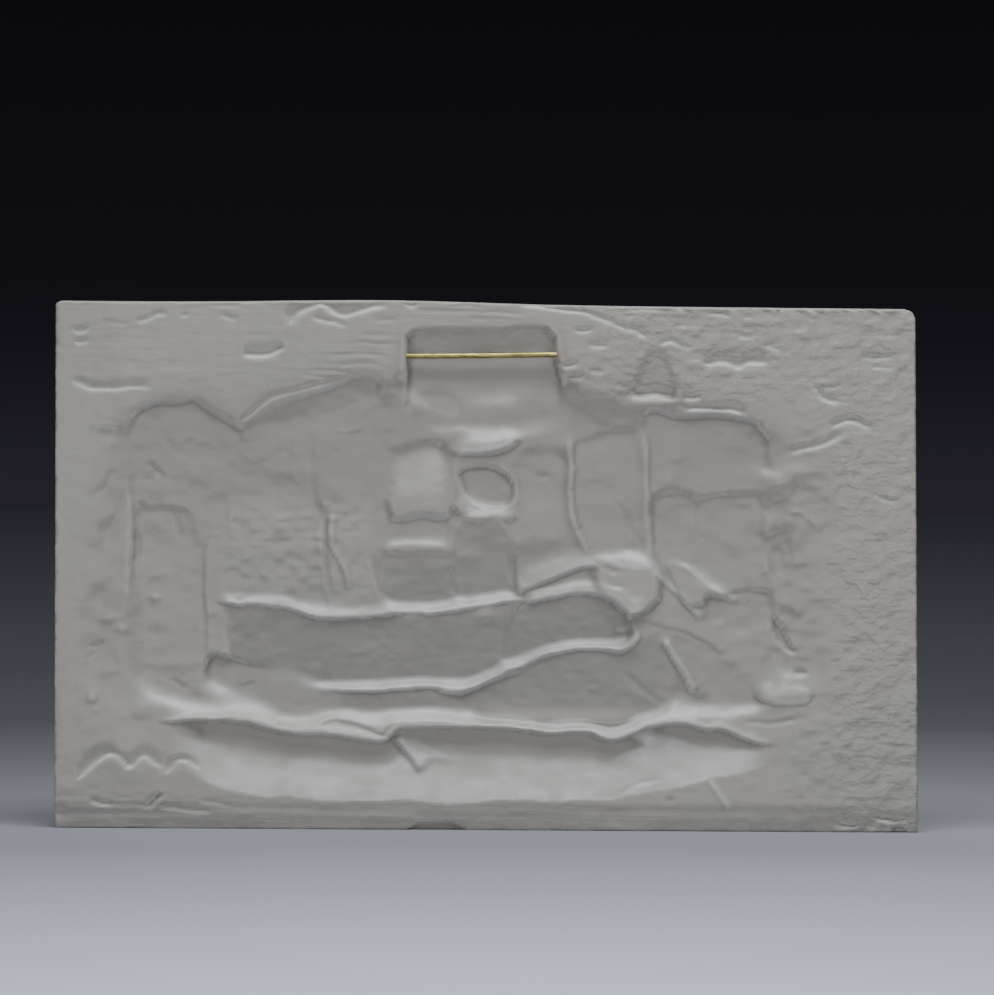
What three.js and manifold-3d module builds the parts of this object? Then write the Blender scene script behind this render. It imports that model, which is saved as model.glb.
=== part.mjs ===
// Cast plaster relief panel, modelled from its hollow back, with a brass hanging bar.
// Millimetres, +Z up. The back faces -Y and the carved front faces +Y.
// The origin is at the middle of the underside, so the panel stands on its lower edge.
import * as THREE from 'three';
import * as BufferGeometryUtils from 'three/addons/utils/BufferGeometryUtils.js';
import Module from 'manifold-3d';

const wasm = await Module();
wasm.setup();

// Panel
const WIDTH = 457;
const HEIGHT = 279;
const THICKNESS = 40;
// The outline is slightly uneven: the left side leans out, the right side leans in and is lower,
// and the top edge swells a little left of the middle.
const TOP_LEFT_OUT = 0.8;
const TOP_RIGHT_IN = 2.9;
const RIGHT_SIDE_LOWER = 1.9;
const TOP_SWELL = 2;
const TOP_SWELL_FROM_CENTRE = -55;
const TOP_SWELL_HALF = 75;
const TOP_SWELL_REACH = 17;
const TOP_LEFT_RADIUS = 3;
const TOP_RIGHT_RADIUS = 6;

// Front: a plain raised border round a sunk field that carries the soft relief
const BORDER_WIDTH = 17;
const BORDER_BEVEL = 5;
const FIELD_SUNK = 13;
const RELIEF_SHARE = 1.35;
const RELIEF_PATCH = 8;
const RELIEF_BELOW_BORDER = 1;
const MIN_WALL = 8;

// Bar recess in the back, below the top edge
const RECESS_WIDTH = 80.5;
const RECESS_FROM_CENTRE = -2.25;
const RECESS_DROP = 12.2;
const RECESS_HEIGHT = 45;
const RECESS_DEPTH = 9;
const RECESS_TOP_SHARE = 0.55;
const RECESS_DEEPEST_BELOW_TOP = 14;
const RECESS_WALL = 1.8;
const RECESS_BLEND = 20;

// Hanging bar, set into the plaster at both ends of the recess
const BAR_DIAMETER = 3.2;
const BAR_SIDES = 16;
const BAR_BELOW_RECESS_TOP = 14.4;
const BAR_INSIDE_BACK = 3;
const BAR_SET_IN = 5;
const BAR_RISE = 1.3;
const SOCKET_CLEARANCE = 0.3;

// Spacing of the modelled surface
const CELL_X = 7.9;
const CELL_Z = 5.3;
const CURVE_STEPS = 4;
const KEEP_CLEAR_SHARE = 0.3;
const MERGE_WITHIN = 1e-5;

// How the forms of the carving blend into the surface round them
const WALL_OUTSIDE_SHARE = 0.35;
const LUMP_FALL = 1.4;
const TROUGH_CURVE = 1.15;

// The carving is drawn for a panel of this width and height, and stretches with the panel.
const DRAWN_WIDTH = 457;
const DRAWN_HEIGHT = 279;
const STRETCH_X = WIDTH / DRAWN_WIDTH;
const STRETCH_Z = HEIGHT / DRAWN_HEIGHT;

const BACK_Y = -THICKNESS / 2;
const FRONT_Y = THICKNESS / 2;
const RECESS_LEFT = RECESS_FROM_CENTRE - RECESS_WIDTH / 2;
const RECESS_RIGHT = RECESS_FROM_CENTRE + RECESS_WIDTH / 2;
const RECESS_TOP = HEIGHT - RECESS_DROP;
const RECESS_FOOT = RECESS_TOP - RECESS_HEIGHT;
const BAR_LENGTH = RECESS_WIDTH + 2 * BAR_SET_IN;
const BAR_SLOPE = Math.atan2(BAR_RISE, RECESS_WIDTH);

const plaster = new THREE.MeshStandardMaterial({ color: 0x96948f, roughness: 0.55, metalness: 0 });
const brass = new THREE.MeshStandardMaterial({ color: 0x8a7434, roughness: 0.35, metalness: 1 });

function ease(t) {
  const c = Math.min(1, Math.max(0, t));
  return c * c * (3 - 2 * c);
}

// A smooth curve through the points, as a list of [x, z].
function smoothCurve(points, closed) {
  const flat = points.map(([x, z]) => new THREE.Vector3(x, z, 0));
  const curve = new THREE.CatmullRomCurve3(flat, closed, 'catmullrom', 0.5);
  const spans = closed ? points.length : points.length - 1;
  const line = curve.getPoints(spans * CURVE_STEPS).map((p) => [p.x, p.y]);
  return line;
}

// Box round a line, widened by a margin, so that a form is skipped where it can't reach.
function reachOf(line, margin) {
  const xs = line.map((p) => p[0]);
  const zs = line.map((p) => p[1]);
  return {
    x0: Math.min(...xs) - margin,
    x1: Math.max(...xs) + margin,
    z0: Math.min(...zs) - margin,
    z1: Math.max(...zs) + margin,
  };
}

function within(reach, x, z) {
  return x > reach.x0 && x < reach.x1 && z > reach.z0 && z < reach.z1;
}

// Distance from a point to a line, the side it lies on (+1 is left of travel) and the share
// of the line's points that lies before it.
function nearestOn(line, x, z) {
  let best = Infinity;
  let side = 1;
  let along = 0;
  for (let i = 0; i < line.length - 1; i += 1) {
    const [ax, az] = line[i];
    const vx = line[i + 1][0] - ax;
    const vz = line[i + 1][1] - az;
    const length2 = vx * vx + vz * vz;
    if (length2 > 0) {
      const t = Math.min(1, Math.max(0, ((x - ax) * vx + (z - az) * vz) / length2));
      const dx = x - ax - t * vx;
      const dz = z - az - t * vz;
      const distance2 = dx * dx + dz * dz;
      if (distance2 < best) {
        best = distance2;
        side = vx * dz - vz * dx >= 0 ? 1 : -1;
        along = (i + t) / (line.length - 1);
      }
    }
  }
  return { distance: Math.sqrt(best), side, along };
}

function isInside(outline, x, z) {
  let inside = false;
  for (let i = 0, j = outline.length - 1; i < outline.length; j = i, i += 1) {
    const [ax, az] = outline[i];
    const [bx, bz] = outline[j];
    if (az > z !== bz > z && x < ((bx - ax) * (z - az)) / (bz - az) + ax) {
      inside = !inside;
    }
  }
  return inside;
}

// Each form below takes a point and the depth there so far, and gives the new depth.
// Depth is how far the surface lies behind the plane of the back.

// Brings the surface inside an outline to one depth, over a sloping wall. The wall is one width, or
// its widths at the outline's foot and head. Options: tiltX and tiltZ are the depth gained for each
// millimetre along x and z, relative adds the depth to what is there, and crisp is how much of the
// wall breaks sharply at the outline.
function level(outline, depth, wall, options = {}) {
  const { tiltX = 0, tiltZ = 0, crisp = 0, relative = false } = options;
  const [footWall, headWall] = Array.isArray(wall) ? wall : [wall, wall];
  const line = smoothCurve(outline, true);
  const box = reachOf(line, 0);
  const reach = reachOf(line, Math.max(footWall, headWall));
  const midX = (box.x0 + box.x1) / 2;
  const midZ = (box.z0 + box.z1) / 2;
  return (x, z, before) => {
    if (!within(reach, x, z)) {
      return before;
    }
    const { distance } = nearestOn(line, x, z);
    const width = footWall + (headWall - footWall) * ease((z - box.z0) / (box.z1 - box.z0));
    const share = (isInside(line, x, z) ? distance : -distance) / width;
    const wanted = depth + tiltX * (x - midX) + tiltZ * (z - midZ);
    const floor = relative ? before + wanted : wanted;
    const sharp = 1 - (1 - Math.min(1, Math.max(0, share))) ** 2;
    const blend = crisp * sharp + (1 - crisp) * ease(share + WALL_OUTSIDE_SHARE);
    return before + (floor - before) * blend;
  };
}

// Raises a ridge along a line, with its own width on each flank, fading out at its ends.
function crest(points, height, leftFlank, rightFlank, fade = 0.1) {
  const line = smoothCurve(points, false);
  const reach = reachOf(line, Math.max(leftFlank, rightFlank));
  return (x, z, before) => {
    if (!within(reach, x, z)) {
      return before;
    }
    const { distance, side, along } = nearestOn(line, x, z);
    const flank = side > 0 ? leftFlank : rightFlank;
    const ends = ease(along / fade) * ease((1 - along) / fade);
    return before - height * (1 - ease(distance / flank)) * ends;
  };
}

// A rounded lump, or a dent where the height is negative. Its first axis is turned from +X by the
// given degrees.
function lump(midX, midZ, radiusX, radiusZ, height, turn = 0) {
  const cos = Math.cos(THREE.MathUtils.degToRad(turn));
  const sin = Math.sin(THREE.MathUtils.degToRad(turn));
  return (x, z, before) => {
    const dx = x - midX;
    const dz = z - midZ;
    const u = (dx * cos + dz * sin) / radiusX;
    const v = (dz * cos - dx * sin) / radiusZ;
    return before - height * Math.exp(-LUMP_FALL * (u * u + v * v));
  };
}

function heightOf(line, x) {
  for (let i = 0; i < line.length - 1; i += 1) {
    const [ax, az] = line[i];
    const [bx, bz] = line[i + 1];
    if (x >= ax && x <= bx && bx > ax) {
      return az + ((bz - az) * (x - ax)) / (bx - ax);
    }
  }
  return null;
}

// A hollow between two lines over x. From the lower line the surface falls away to its deepest
// place, a share of the way up, stays there, and comes back over one step under the upper line.
// It dies away over endWidth at its left and right end.
function trough(lower, upper, depth, deepest, fullSpan, step, endWidth) {
  const low = smoothCurve(lower, false);
  const high = smoothCurve(upper, false);
  const start = Math.max(low[0][0], high[0][0]);
  const stop = Math.min(low[low.length - 1][0], high[high.length - 1][0]);
  return (x, z, before) => {
    const bottom = heightOf(low, x);
    const top = heightOf(high, x);
    if (bottom === null || top === null || z <= bottom || z >= top) {
      return before;
    }
    const share = (z - bottom) / (top - bottom);
    const profile = Math.min(1, share / deepest) ** TROUGH_CURVE * ease((top - z) / step);
    const full = Math.min(1, (top - bottom) / fullSpan);
    const ends = ease((x - start) / endWidth) * ease((stop - x) / endWidth);
    return before + (depth * full - before) * profile * ends;
  };
}

// The line of the ledge over the long lens-shaped hollow.
const ledge = [[-176, 56], [-160, 57.5], [-145, 57.5], [-130, 56], [-115, 52.5], [-101, 50.5],
  [-82, 49.5], [-60, 48], [-50, 50], [-42, 54], [-28, 55.5], [-10, 55], [8, 54], [30, 52.5],
  [52, 52], [64, 49.5], [74, 49.5], [84, 54], [100, 57], [110, 57.5], [116, 55], [126, 55.5],
  [138, 52], [154, 47]];

// The hollows and ridges of the back, in drawing millimetres, in the order they are worked.
const carving = [
  // soft ground round the hollows
  level([[-212, 205], [-150, 236], [-60, 248], [60, 246], [150, 228], [192, 190], [188, 90],
    [166, 60], [152, 22], [60, 9], [-60, 8], [-150, 13], [-188, 40], [-212, 80]], 1, 26),
  level([[-207, 211], [-190, 212], [-170, 205], [-160, 150], [-160, 90], [-170, 70], [-196, 66],
    [-212, 80], [-214, 110], [-206, 128], [-210, 150], [-203, 165], [-208, 175], [-199, 190]], 2.4,
    14),
  level([[120, 215], [150, 213], [166, 200], [182, 184], [184, 160], [178, 140], [176, 118],
    [178, 98], [176, 80], [150, 72], [120, 80], [110, 120]], 2.6, 18),
  // main hollow: it falls away gently from its head and comes forward quickly at its foot
  level([[-190, 213], [-180, 225], [-166, 227], [-154, 228.5], [-143, 221.5], [-131, 214],
    [-121, 222], [-108, 229], [-92, 233], [-80, 237], [-70, 241], [-59, 241], [-50, 240],
    [-42, 243], [0, 246], [40, 242], [50, 236], [66, 231], [98, 228], [108, 221], [138, 220],
    [147, 213], [152, 200], [156, 180], [162, 160], [164, 130], [163, 100], [158, 78], [140, 63],
    [100, 62], [60, 60.5], [0, 60], [-60, 62.5], [-120, 60], [-150, 60.5], [-180, 72], [-188, 90],
    [-187, 120], [-186, 150], [-187, 180], [-192, 200]], 4.6, [9, 28], { crisp: 0.45 }),
  level([[-133, 214], [-121, 222], [-108, 229], [-92, 233], [-80, 237], [-70, 241], [-59, 241.5],
    [-56, 233], [-70, 222], [-100, 210], [-125, 200]], 1, [16, 5], { relative: true }),
  // rounded hollow at the upper left, ending in a fold
  level([[-190, 212], [-178, 225.5], [-165, 226.5], [-154, 228], [-143, 221], [-131, 214],
    [-127, 200], [-119, 184], [-126, 160], [-140, 150], [-165, 150], [-186, 156]], 4.6, [26, 7],
    { tiltX: 0.01, tiltZ: -0.012 }),
  // arched recess in the left column, and a raised strip beside it
  level([[-186, 166], [-178, 169.5], [-165, 170], [-158, 167], [-153, 154], [-148, 142], [-148, 88],
    [-168, 80], [-186, 84]], 5.8, [22, 5]),
  level([[-148, 152], [-136, 150], [-135, 96], [-148, 96]], 4.3, 1.6),
  // upright panels of the middle
  level([[-134, 186], [-88, 184], [-85, 150], [-84, 118], [-110, 116], [-136, 120]], 5, [2, 14]),
  level([[-86, 200], [-56, 196], [-56, 150], [-54, 120], [-70, 114], [-84, 118]], 4.2, [3, 16],
    { tiltX: 0.012 }),
  level([[-40, 241], [38, 241], [44, 224], [34, 213], [-14, 210], [-34, 214], [-38, 226]], 6.4,
    [12, 16]),
  level([[-51, 194], [-40, 203], [-22, 206], [-18, 192], [-18, 168], [-35, 166], [-51, 167]], 4.1,
    [2.5, 10], { tiltZ: 0.13 }),
  level([[-54, 150], [-18, 150], [-14, 122], [-30, 116], [-50, 118]], 5.4, [5, 5],
    { tiltZ: -0.12 }),
  level([[-15.5, 166], [6, 167], [13, 160], [16, 148], [15, 126], [-10, 120], [-17, 140]], 5,
    [6, 4], { tiltZ: -0.12 }),
  crest([[-56, 150], [-46, 147.5], [-34, 148.5], [-18, 148.5], [-14, 151]], 1.7, 9, 4, 0.15),
  // panels right of the hole
  level([[18, 199], [42, 202], [46, 190], [50, 160], [17, 148], [17, 166]], 4.6, [14, 9],
    { tiltZ: 0.05 }),
  level([[46, 206], [84, 212], [87, 165], [76, 150], [57, 146], [48, 165], [45.5, 190]], 4.4,
    [10, 5], { tiltZ: 0.025 }),
  level([[84, 221], [104, 221], [138, 221], [148, 213], [150, 200], [146, 180], [110, 180],
    [87, 180]], 4.5, [8, 6], { tiltZ: 0.02 }),
  // the lobe over the hole, the hole and its lower rim
  crest([[-19, 204], [-12, 200], [-4, 200.5], [4, 202], [12, 205], [20, 210]], 2.9, 10, 2.6, 0.22),
  level([[-17, 199], [-4, 200], [8, 197], [14, 191], [18, 184], [17, 172], [8, 166], [-10, 168],
    [-17.5, 180]], 3.9, [5, 3]),
  level([[-13.5, 191], [-6, 193.5], [3, 192.5], [11, 189.5], [14.5, 184], [15, 177], [10, 172],
    [0, 171.5], [-9, 175.5], [-13, 183]], 6.2, [2.4, 1.8], { tiltZ: -0.03 }),
  crest([[-17, 176], [-12, 169], [-4, 167], [4, 167.5], [12, 166], [18, 169]], 1.6, 4.5, 3, 0.15),
  crest([[84, 215], [86.5, 188], [88, 163], [89.7, 141]], 1.5, 1.2, 7, 0.1),
  level([[89, 178], [112, 179.5], [136, 180], [147, 178], [147, 160], [146, 142], [136, 127],
    [112, 124], [94, 128], [88, 150]], 5.5, [16, 5]),
  // knot and the straps that leave it
  level([[58, 145], [66, 148.5], [80, 147], [92, 141], [92, 126], [84, 116], [72, 114], [66, 122],
    [57, 132]], 0.6, [3, 9], { tiltZ: 0.06 }),
  level([[96, 143], [107, 142], [118, 130], [134, 123], [118, 121], [106, 122]], 3.6, 3,
    { tiltZ: 0.08 }),
  level([[116, 125], [126, 126], [138, 129], [151, 127], [152, 112], [140, 104], [126, 105],
    [117, 112]], 6, [9, 3]),
  // broad band hollow under the first crest
  level([[-137, 119], [-126, 118.5], [-108, 118], [-88, 112.5], [-70, 112.5], [-40, 115.5],
    [-20, 116.5], [0, 119.5], [18, 124], [20, 110], [14, 92], [-4, 78], [-40, 77], [-80, 75],
    [-100, 82], [-118, 87], [-134, 92]], 6.1, [5.5, 1.2], { tiltZ: -0.12 }),
  level([[16, 121], [30, 124], [55, 127], [68, 124], [76, 112], [76, 99], [55, 98], [34, 95],
    [16, 87], [8, 95]], 6.1, [3.4, 1.8], { tiltZ: -0.12 }),
  // smooth hollow under the second crest
  level([[-122, 84], [-104, 80], [-84, 74], [-60, 74], [-30, 75.5], [-10, 74], [8, 81], [30, 90],
    [50, 95.5], [74, 95], [84, 104], [92, 106], [104, 80], [98, 64], [60, 63], [0, 63.5], [-60, 64],
    [-92, 68], [-114, 78]], 6, [8, 1.5], { tiltZ: -0.1 }),
  // first crest and its second and third lobes
  crest([[-144, 121], [-128, 119.5], [-108, 118], [-88, 112.8], [-64, 113], [-40, 116], [-24, 116],
    [0, 120], [17, 124.5]], 1.9, 4.6, 1.3, 0.06),
  crest([[14, 126], [26, 131], [38, 136], [50, 140], [62, 141]], 2.2, 12, 1.6, 0.15),
  crest([[18, 121], [34, 124.5], [52, 127], [66, 124], [74, 117], [88, 117]], 2.6, 8, 1.3, 0.12),
  // second crest
  crest([[-104, 81], [-84, 74.5], [-60, 74.5], [-34, 76], [-12, 76]], 1.5, 4, 1.3, 0.25),
  crest([[-28, 74], [-10, 74.5], [6, 82], [20, 89], [40, 95.5], [58, 97.5], [74, 97], [81, 103],
    [78, 109]], 2, 5, 1.6, 0.08),
  // straps
  crest([[89, 138], [100, 127.5], [108, 119.5], [115, 112]], 1.5, 4, 1.2),
  crest([[104, 144], [112, 136], [121, 128], [136, 122]], 1.1, 4, 2.5),
  crest([[84, 111], [96, 109], [112, 104.5], [127, 94]], 0.7, 5, 1.6),
  crest([[94, 103], [102, 90], [112, 73]], 1.7, 4, 1.3),
  // lumps at the right
  lump(157, 188, 13, 9, 2.2, 20),
  lump(150, 166, 5, 6, 1.6),
  lump(167, 164, 11, 9, 1.4, -20),
  lump(157, 146, 5, 12, -1.6, 15),
  lump(156, 78, 14, 9, 1.8),
  // ledge, and under it one long lens-shaped hollow with two slanting struts
  crest(ledge, 2.5, 5.5, 1.2, 0.05),
  trough([[-172, 40], [-160, 33], [-148, 25], [-132, 19], [-110, 17], [-80, 15], [-60, 14],
    [-28, 13.5], [-10, 13.5], [20, 14.5], [50, 15], [66, 17], [80, 21], [100, 25], [118, 29],
    [136, 33], [154, 40]], ledge, 6.4, 0.62, 32, 1.5, 26),
  crest([[-52, 52], [-45, 43], [-38, 34], [-32, 27]], 2.8, 16, 1.6, 0.25),
  crest([[92, 57], [84, 51], [74, 44], [62, 34]], 2.4, 18, 12, 0.25),
];

// Depth of the bar recess. Under its top edge it starts with a share of its depth, deepens towards
// the bar, and runs out into the main hollow below.
function recessDepth(x, z, before) {
  const fromLeft = (x - RECESS_LEFT) / RECESS_WALL;
  const fromRight = (RECESS_RIGHT - x) / RECESS_WALL;
  const fromTop = (RECESS_TOP - z) / RECESS_WALL;
  const inside = Math.min(1, Math.max(0, Math.min(fromLeft, fromRight, fromTop)));
  const deeper = ease((RECESS_TOP - z) / RECESS_DEEPEST_BELOW_TOP);
  const floor = RECESS_DEPTH * (RECESS_TOP_SHARE + (1 - RECESS_TOP_SHARE) * deeper);
  const fade = ease((z - RECESS_FOOT) / RECESS_BLEND);
  return Math.max(before, before + (floor - before) * fade * inside);
}

function backDepth(x, z) {
  const drawnX = x / STRETCH_X;
  const drawnZ = z / STRETCH_Z;
  const carved = carving.reduce((depth, form) => form(drawnX, drawnZ, depth), 0);
  return recessDepth(x, z, Math.max(0, carved));
}

// The front's relief rises where the back is hollow, as the plaster was laid in a shell.
function reliefHeight(x, z) {
  const steps = [-RELIEF_PATCH, 0, RELIEF_PATCH];
  let sum = 0;
  for (const dx of steps) {
    for (const dz of steps) {
      const drawnX = (x + dx) / STRETCH_X;
      const drawnZ = (z + dz) / STRETCH_Z;
      sum += Math.max(0, carving.reduce((depth, form) => form(drawnX, drawnZ, depth), 0));
    }
  }
  return (RELIEF_SHARE * sum) / steps.length ** 2;
}

function frontY(x, z) {
  const fromEdge = Math.min(WIDTH / 2 - Math.abs(x), z, HEIGHT - z);
  const field = ease((fromEdge - BORDER_WIDTH) / BORDER_BEVEL);
  const sunk = FIELD_SUNK - reliefHeight(x, z);
  const wanted = FRONT_Y - field * Math.max(RELIEF_BELOW_BORDER, sunk);
  return Math.max(wanted, BACK_Y + backDepth(x, z) + MIN_WALL);
}

// Grid lines from one end to the other at about one spacing, with further lines where a wall
// needs them. An even number of spaces lets the front use every second line.
function gridLines(from, to, spacing, extra) {
  const count = Math.ceil((to - from) / spacing);
  const lines = [];
  for (let i = 0; i <= count; i += 1) {
    lines.push(from + ((to - from) * i) / count);
  }
  const clear = lines.filter((v) => v === from || v === to
    || extra.every((e) => Math.abs(v - e) > spacing * KEEP_CLEAR_SHARE));
  const all = [...clear, ...extra].sort((a, b) => a - b);
  if (all.length % 2 === 0) {
    all.splice(1, 0, (all[0] + all[1]) / 2);
  }
  return all;
}

// How far a rounded top corner draws the side in at a height.
function rounding(z, radius) {
  const intoCorner = Math.max(0, z - (HEIGHT - radius));
  return radius - Math.sqrt(Math.max(0, radius * radius - intoCorner * intoCorner));
}

// A point of the face, moved from the even rectangle to the panel's slightly uneven outline.
function onOutline(x, z) {
  const across = (x + WIDTH / 2) / WIDTH;
  const up = z / HEIGHT;
  const left = -WIDTH / 2 - TOP_LEFT_OUT * up + rounding(z, TOP_LEFT_RADIUS);
  const right = WIDTH / 2 - TOP_RIGHT_IN * up - rounding(z, TOP_RIGHT_RADIUS);
  const fromSwell = (x - TOP_SWELL_FROM_CENTRE) / TOP_SWELL_HALF;
  const nearTop = ease((z - (HEIGHT - TOP_SWELL_REACH)) / TOP_SWELL_REACH);
  const swell = TOP_SWELL * Math.exp(-fromSwell * fromSwell) * nearTop;
  const movedX = left + (right - left) * across + TOP_LEFT_OUT / 2;
  return [movedX, z - RIGHT_SIDE_LOWER * across * up + swell];
}

function panelGeometry() {
  const xLines = gridLines(-WIDTH / 2, WIDTH / 2, CELL_X,
    [RECESS_LEFT, RECESS_LEFT + RECESS_WALL, RECESS_RIGHT - RECESS_WALL, RECESS_RIGHT]);
  const zLines = gridLines(0, HEIGHT, CELL_Z,
    [RECESS_TOP - RECESS_WALL, RECESS_TOP, HEIGHT - TOP_RIGHT_RADIUS, HEIGHT - TOP_LEFT_RADIUS]);
  const nx = xLines.length;
  const nz = zLines.length;
  const positions = [];
  const triangles = [];

  const backId = (i, j) => j * nx + i;
  for (const z of zLines) {
    for (const x of xLines) {
      const [px, pz] = onOutline(x, z);
      const atSide = x === xLines[0] || x === xLines[nx - 1];
      const atEnd = z === zLines[0] || z === zLines[nz - 1];
      positions.push(px, BACK_Y + (atSide || atEnd ? 0 : backDepth(x, z)), pz);
    }
  }
  const frontStart = nx * nz;
  const mx = (nx + 1) / 2;
  const mz = (nz + 1) / 2;
  const frontId = (i, j) => frontStart + j * mx + i;
  for (let j = 0; j < nz; j += 2) {
    for (let i = 0; i < nx; i += 2) {
      const [px, pz] = onOutline(xLines[i], zLines[j]);
      positions.push(px, frontY(xLines[i], zLines[j]), pz);
    }
  }

  for (let j = 0; j < nz - 1; j += 1) {
    for (let i = 0; i < nx - 1; i += 1) {
      triangles.push(backId(i, j), backId(i + 1, j), backId(i + 1, j + 1));
      triangles.push(backId(i, j), backId(i + 1, j + 1), backId(i, j + 1));
    }
  }
  for (let j = 0; j < mz - 1; j += 1) {
    for (let i = 0; i < mx - 1; i += 1) {
      triangles.push(frontId(i, j), frontId(i + 1, j + 1), frontId(i + 1, j));
      triangles.push(frontId(i, j), frontId(i, j + 1), frontId(i + 1, j + 1));
    }
  }

  // Edge of the panel: each front space meets two back spaces, in three triangles.
  const edge = (b0, b1, b2, f0, f1) => {
    triangles.push(b0, f0, b1);
    triangles.push(b1, f0, f1);
    triangles.push(b1, f1, b2);
  };
  for (let i = 0; i < mx - 1; i += 1) {
    const a = 2 * i;
    edge(backId(a, 0), backId(a + 1, 0), backId(a + 2, 0), frontId(i, 0), frontId(i + 1, 0));
    const t = nz - 1;
    edge(backId(a + 2, t), backId(a + 1, t), backId(a, t), frontId(i + 1, mz - 1), frontId(i, mz - 1));
  }
  for (let j = 0; j < mz - 1; j += 1) {
    const a = 2 * j;
    const r = nx - 1;
    edge(backId(r, a), backId(r, a + 1), backId(r, a + 2), frontId(mx - 1, j), frontId(mx - 1, j + 1));
    edge(backId(0, a + 2), backId(0, a + 1), backId(0, a), frontId(0, j + 1), frontId(0, j));
  }

  const geometry = new THREE.BufferGeometry();
  geometry.setAttribute('position', new THREE.Float32BufferAttribute(positions, 3));
  geometry.setIndex(triangles);
  return geometry;
}

function toManifold(source) {
  const bare = source.clone();
  bare.deleteAttribute('normal');
  bare.deleteAttribute('uv');
  const merged = BufferGeometryUtils.mergeVertices(bare, MERGE_WITHIN);
  return new wasm.Manifold(new wasm.Mesh({
    numProp: 3,
    vertProperties: new Float32Array(merged.attributes.position.array),
    triVerts: new Uint32Array(merged.index.array),
  }));
}

function toGeometry(solid) {
  const mesh = solid.getMesh();
  const geometry = new THREE.BufferGeometry();
  geometry.setAttribute('position', new THREE.BufferAttribute(new Float32Array(mesh.vertProperties), 3));
  geometry.setIndex(new THREE.BufferAttribute(new Uint32Array(mesh.triVerts), 1));
  geometry.computeVertexNormals();
  return geometry;
}

// Puts a piece made along x where the bar lies: across the recess, rising a little to the right.
function placeAsBar(object) {
  const [x, z] = onOutline(RECESS_FROM_CENTRE, RECESS_TOP - BAR_BELOW_RECESS_TOP);
  object.rotation.set(0, -BAR_SLOPE, 0);
  object.position.set(x, BACK_Y + BAR_INSIDE_BACK, z);
  object.updateMatrix();
  return object;
}

function barGeometry(extra) {
  const radius = BAR_DIAMETER / 2 + extra;
  const geometry = new THREE.CylinderGeometry(radius, radius, BAR_LENGTH + 2 * extra, BAR_SIDES);
  geometry.rotateZ(Math.PI / 2);
  return geometry;
}

function buildPanel() {
  const socket = barGeometry(SOCKET_CLEARANCE);
  socket.applyMatrix4(placeAsBar(new THREE.Object3D()).matrix);
  const solid = toManifold(panelGeometry()).subtract(toManifold(socket));
  const mesh = new THREE.Mesh(toGeometry(solid), plaster);
  mesh.name = 'relief_panel';
  return mesh;
}

function buildBar() {
  const mesh = placeAsBar(new THREE.Mesh(barGeometry(0), brass));
  mesh.name = 'hanging_bar';
  return mesh;
}

const group = new THREE.Group();
group.add(buildPanel(), buildBar());

export default group;
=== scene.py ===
"""Looks of a cast plaster relief panel, seen from its hollow back, and of its brass hanging bar.

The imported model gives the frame. The panel's back is worked here as a field of depths over an even
grid, in millimetres: every hollow, crest, crease and stroke is one named operation on that field.
The grid is then laid on the panel's slightly uneven outline and closed with a rim and a front.
"""
import logging
import math
from collections.abc import Sequence
from dataclasses import dataclass, field
from enum import Enum

import bpy
import numpy as np
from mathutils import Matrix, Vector


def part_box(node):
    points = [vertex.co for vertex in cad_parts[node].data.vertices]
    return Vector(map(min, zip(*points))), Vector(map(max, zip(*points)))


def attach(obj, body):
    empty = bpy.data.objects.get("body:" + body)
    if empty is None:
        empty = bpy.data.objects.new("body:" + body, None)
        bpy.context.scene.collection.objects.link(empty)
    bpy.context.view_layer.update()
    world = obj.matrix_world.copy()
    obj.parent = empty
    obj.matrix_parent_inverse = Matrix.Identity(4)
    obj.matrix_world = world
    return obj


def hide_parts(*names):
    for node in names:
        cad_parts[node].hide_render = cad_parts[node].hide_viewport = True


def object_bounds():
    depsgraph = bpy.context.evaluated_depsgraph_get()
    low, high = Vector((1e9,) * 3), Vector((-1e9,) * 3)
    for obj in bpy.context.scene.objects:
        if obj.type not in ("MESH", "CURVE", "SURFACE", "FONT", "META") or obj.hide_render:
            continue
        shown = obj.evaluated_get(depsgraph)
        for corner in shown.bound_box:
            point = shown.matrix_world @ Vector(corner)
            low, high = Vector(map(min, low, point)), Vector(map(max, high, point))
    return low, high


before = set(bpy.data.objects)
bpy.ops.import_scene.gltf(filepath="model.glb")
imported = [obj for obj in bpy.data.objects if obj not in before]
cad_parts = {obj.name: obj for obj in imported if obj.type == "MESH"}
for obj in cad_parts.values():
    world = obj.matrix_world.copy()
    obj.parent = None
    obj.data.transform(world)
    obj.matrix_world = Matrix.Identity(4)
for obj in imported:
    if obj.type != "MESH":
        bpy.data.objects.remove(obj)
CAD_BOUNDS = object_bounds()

Array = np.ndarray
Point = tuple[float, float]
Points = Sequence[Point]
Colour = tuple[float, float, float]

MM = 0.001
# cells of the noise's lattice along each side, and the cell that holds the panel's origin
LATTICE_CELLS = 512
LATTICE_START = (200.0, 5.0)
log = logging.getLogger("relief")


def ease(t: Array | float) -> Array:
    """Smooth step: 0 below 0, 1 above 1, and 3t^2 - 2t^3 between.

    Args:
        t: the share of the way, one number or an array.

    Returns:
        The eased share.
    """
    c = np.clip(t, 0.0, 1.0)
    return c * c * (3.0 - 2.0 * c)


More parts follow.
